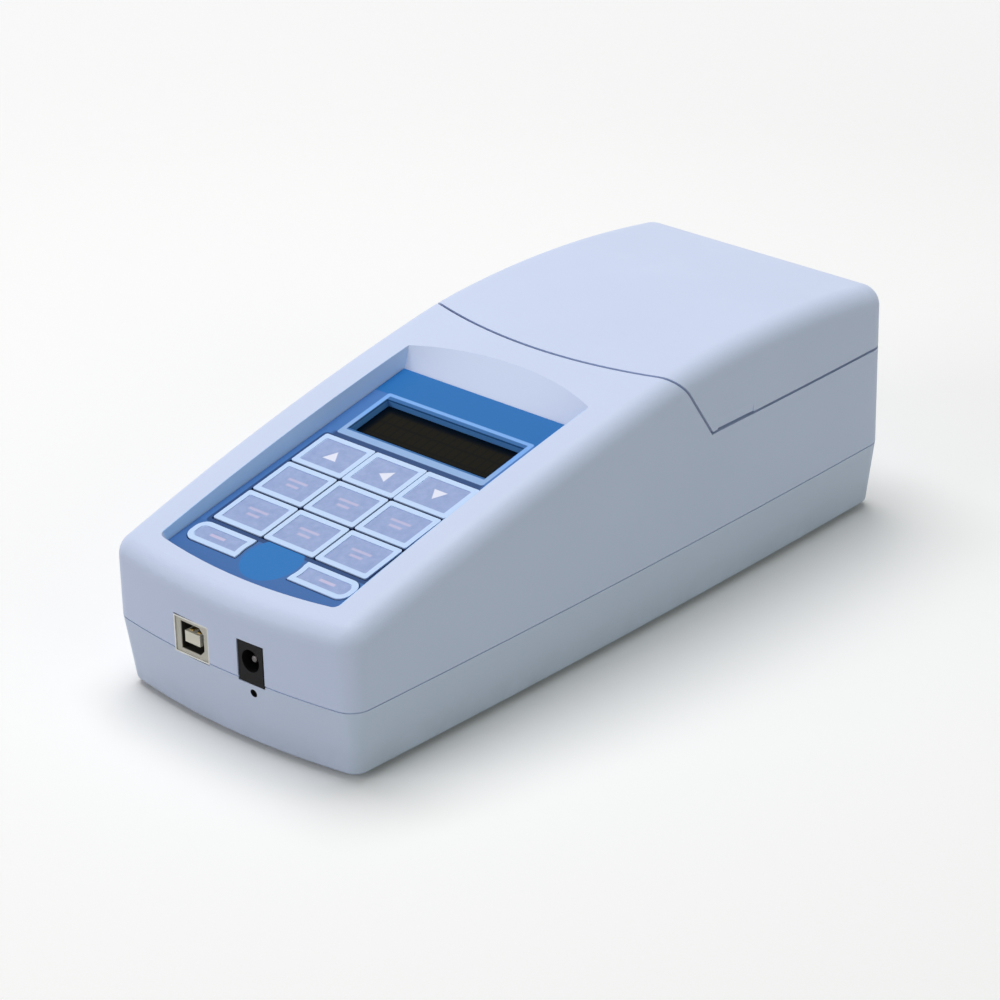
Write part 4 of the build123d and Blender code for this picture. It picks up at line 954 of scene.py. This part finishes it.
# %% Batteries, contacts and inserts
BARE_END_X, BAND_LOW_X, BAND_HIGH_X = 24.3, 17.0, 19.5
cell_sleeve = Finish("cell_sleeve", (0.10, 0.12, 0.16), 0.3)
x, y, z = cell_sleeve.axes()
end = x.size().above(BARE_END_X, 0.2)
band = x.size().within(BAND_LOW_X, BAND_HIGH_X, 0.3)
color = cell_sleeve.mix(cell_sleeve.noise(50, 3), (0.07, 0.09, 0.13), (0.11, 0.13, 0.18))
color = cell_sleeve.mix(band, color, (0.45, 0.47, 0.50))
cell_sleeve.color(cell_sleeve.mix(end, color, (0.62, 0.62, 0.60)))
cell_sleeve.feed(cell_sleeve.shader.inputs["Metallic"], end)
cell_sleeve.uneven(300, 3, 0.2, 0.2)
cell_sleeve.on("batteries")
brass = turned_metal("brass", (0.50, 0.36, 0.15), (0.72, 0.54, 0.26), (1, 1, 0.3), 0.28)
brass.on("threaded_inserts")
nickel = turned_metal("contact_nickel", (0.48, 0.47, 0.44), (0.66, 0.65, 0.61), (1, 1, 0.3), 0.26)
nickel.on("battery_contacts")
print("power pieces finished")

# %% [markdown]
# Behind each cell a small conical spring presses on its flat end. A spring is a wire that follows a
# rule, which suits Geometry Nodes: a Spiral curve with two radii gives its path, and Curve to Mesh
# wraps a thin circle round it.

# %% Battery springs
spring_tree = Growth("conical_spring", Turns=2.6, Wide_radius=0.0042, Narrow_radius=0.0022,
                     Pressed_height=0.0007, Wire_radius=0.0002, Facing=0.0)
spring = spring_tree.entry
coil = spring_tree.node("GeometryNodeCurveSpiral", None, {
    "Resolution": 28, "Rotations": spring["Turns"], "Start Radius": spring["Wide_radius"],
    "End Radius": spring["Narrow_radius"], "Height": spring["Pressed_height"]}).outputs[0]
wire_section = spring_tree.node("GeometryNodeCurvePrimitiveCircle", {"mode": "RADIUS"}, {
    "Resolution": 8, "Radius": spring["Wire_radius"]}).outputs[0]
wire = spring_tree.node("GeometryNodeCurveToMesh", None, {
    "Curve": coil, "Profile Curve": wire_section, "Fill Caps": True}).outputs[0]
standing = spring_tree.copies(spring["Geometry"], wire, spring_tree.vector(y=spring["Facing"]))
spring_tree.close(standing, nickel.material)
CELLS = 4
PLATE_THICKNESS, WIRE_REACH = 0.0004, 0.0002
low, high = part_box("batteries")
cell_z = (low[2] + high[2]) / 2
cell_ys = [low[1] + (index + 0.5) * (high[1] - low[1]) / CELLS for index in range(CELLS)]
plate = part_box("battery_contacts")[1][0] - PLATE_THICKNESS - WIRE_REACH
for side, turn, hand in ((1, -math.pi / 2, "right"), (-1, math.pi / 2, "left")):
    # the flat ends lie opposite the button ends, which alternate along the row
    ys = [y for index, y in enumerate(cell_ys) if (index % 2 == 0) == (side < 0)]
    places = [(side * plate, y, cell_z) for y in ys]
    spring_tree.grow("battery_springs_" + hand, places, "case", "brass", Facing=turn)

# %% [markdown]
# The feet are black rubber. Rubber is matt and picks up dust, and moulded feet have fine rings on the
# face that grips the bench.

# %% Rubber feet
FOOT_RADIUS, RING_PITCH = 5.0, 0.8
rubber = Finish("rubber", (0.030, 0.030, 0.032), 0.8)
x, y, z = rubber.axes()
foot_low, foot_high = [[value / MM for value in corner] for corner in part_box("rubber_feet")]
centre_x = foot_high[0] - FOOT_RADIUS
centre_y = (foot_high[1] + foot_low[1]) / 2
reach_y = (foot_high[1] - foot_low[1]) / 2 - FOOT_RADIUS
from_x, from_y = x.size() - centre_x, (y - centre_y).size() - reach_y
radius = (from_x * from_x + from_y * from_y).math("SQRT")
rings = (radius / RING_PITCH).math("FRACT").within(0.25, 0.75, 0.25) * z.below(0.4, 0.3)
dust = rubber.noise(300, 5, 0.7)
rubber.color(rubber.mix(dust.above(0.55, 0.3) * 0.5, (0.022, 0.022, 0.024), (0.075, 0.073, 0.068)))
rubber.roughness(dust * 0.15 + 0.7)
rubber.bump(rings + dust * 0.3, 0.6, 0.00015)
rubber.on("rubber_feet")
print("feet finished")

# %% [markdown]
# The instrument stands on a wide pale floor. The floor is a real surface, so the object's soft shadow
# falls on it. Where the camera or a mirror-like surface looks at it, it is almost white and fades out
# in the distance, so that no horizon shows, but it throws less light back onto the object's sides, as
# the dark of a studio would. The world is white to the camera in the same way. Light Path tells these
# rays apart.

# %% Floor
FLOOR_REACH = 3.0
FLOOR_DIM, FLOOR_SEEN = (0.60, 0.60, 0.60), (0.995, 0.995, 0.995)
FADE_MIDDLE, FADE_WIDTH = 600.0, 400.0
corners = [(x * FLOOR_REACH, y * FLOOR_REACH, 0) for x, y in ((-1, -1), (1, -1), (1, 1), (-1, 1))]
floor_mesh = bpy.data.meshes.new("floor")
floor_mesh.from_pydata(corners, [], [(0, 1, 2, 3)])
floor = bpy.data.objects.new("floor", floor_mesh)
bpy.context.collection.objects.link(floor)
pale_floor = Finish("floor_pale", (0.93, 0.93, 0.93), 0.9, Specular_IOR_Level=0.1)
floor_rays = pale_floor.node("ShaderNodeLightPath").outputs
seen_floor = Wire(pale_floor, floor_rays["Is Camera Ray"]).most(floor_rays["Is Glossy Ray"]).most(
    floor_rays["Is Transmission Ray"])
pale_floor.color(pale_floor.mix(seen_floor, FLOOR_DIM, FLOOR_SEEN))
x, y, z = pale_floor.axes()
distance = (x * x + y * y).math("SQRT")
far = distance.above(FADE_MIDDLE, FADE_WIDTH)
pale_floor.feed(pale_floor.shader.inputs["Alpha"], 1.0 - far * seen_floor)
floor_mesh.materials.append(pale_floor.material)
print("floor laid")

# %% [markdown]
# Three large soft lamps light it as in a small studio: a strong one almost overhead, a weak one in
# front on the left and a faint, slightly green one on the right. The top faces come out about as
# bright as their colour is written, the front about two thirds of that and the right side about half,
# as in the photograph.

# %% Lamps and world
LAMP_AIM = Vector((0, 0, 0.03))
WORLD_DIM, WORLD_SEEN = 0.22, 1.0


def soft_lamp(name, place, size, power, tint=(1, 1, 1)):
    """Square area lamp at a place in metres, facing the object."""
    data = bpy.data.lights.new(name, "AREA")
    data.energy, data.size, data.color = power, size, tint
    lamp_object = bpy.data.objects.new(name, data)
    lamp_object.location = place
    lamp_object.rotation_mode = "QUATERNION"
    lamp_object.rotation_quaternion = (LAMP_AIM - Vector(place)).to_track_quat("-Z", "Y")
    bpy.context.collection.objects.link(lamp_object)
    print(name, "gives", power, "watts")


soft_lamp("top_softbox", (-0.30, 0.12, 1.3), 1.0, 13.2)
soft_lamp("front_softbox", (-0.5, -1.4, 0.6), 0.9, 6.0)
soft_lamp("side_softbox", (1.5, -0.1, 0.4), 1.0, 4.2, tint=(0.90, 1.0, 0.80))
world = bpy.data.worlds.new("world")
bpy.context.scene.world = world
world.use_nodes = True
sky = world.node_tree
background = sky.nodes["Background"]
background.inputs["Color"].default_value = (1, 1, 1, 1)
rays = sky.nodes.new("ShaderNodeLightPath").outputs
seen = rays["Is Camera Ray"]
for other in ("Is Glossy Ray", "Is Transmission Ray"):
    either = sky.nodes.new("ShaderNodeMath")
    either.operation = "MAXIMUM"
    sky.links.new(seen, either.inputs[0])
    sky.links.new(rays[other], either.inputs[1])
    seen = either.outputs[0]
strength = sky.nodes.new("ShaderNodeMapRange")
sky.links.new(seen, strength.inputs["Value"])
strength.inputs["To Min"].default_value = WORLD_DIM
strength.inputs["To Max"].default_value = WORLD_SEEN
sky.links.new(strength.outputs["Result"], background.inputs["Strength"])
bpy.context.scene.view_settings.view_transform = "Standard"
print("world ready")
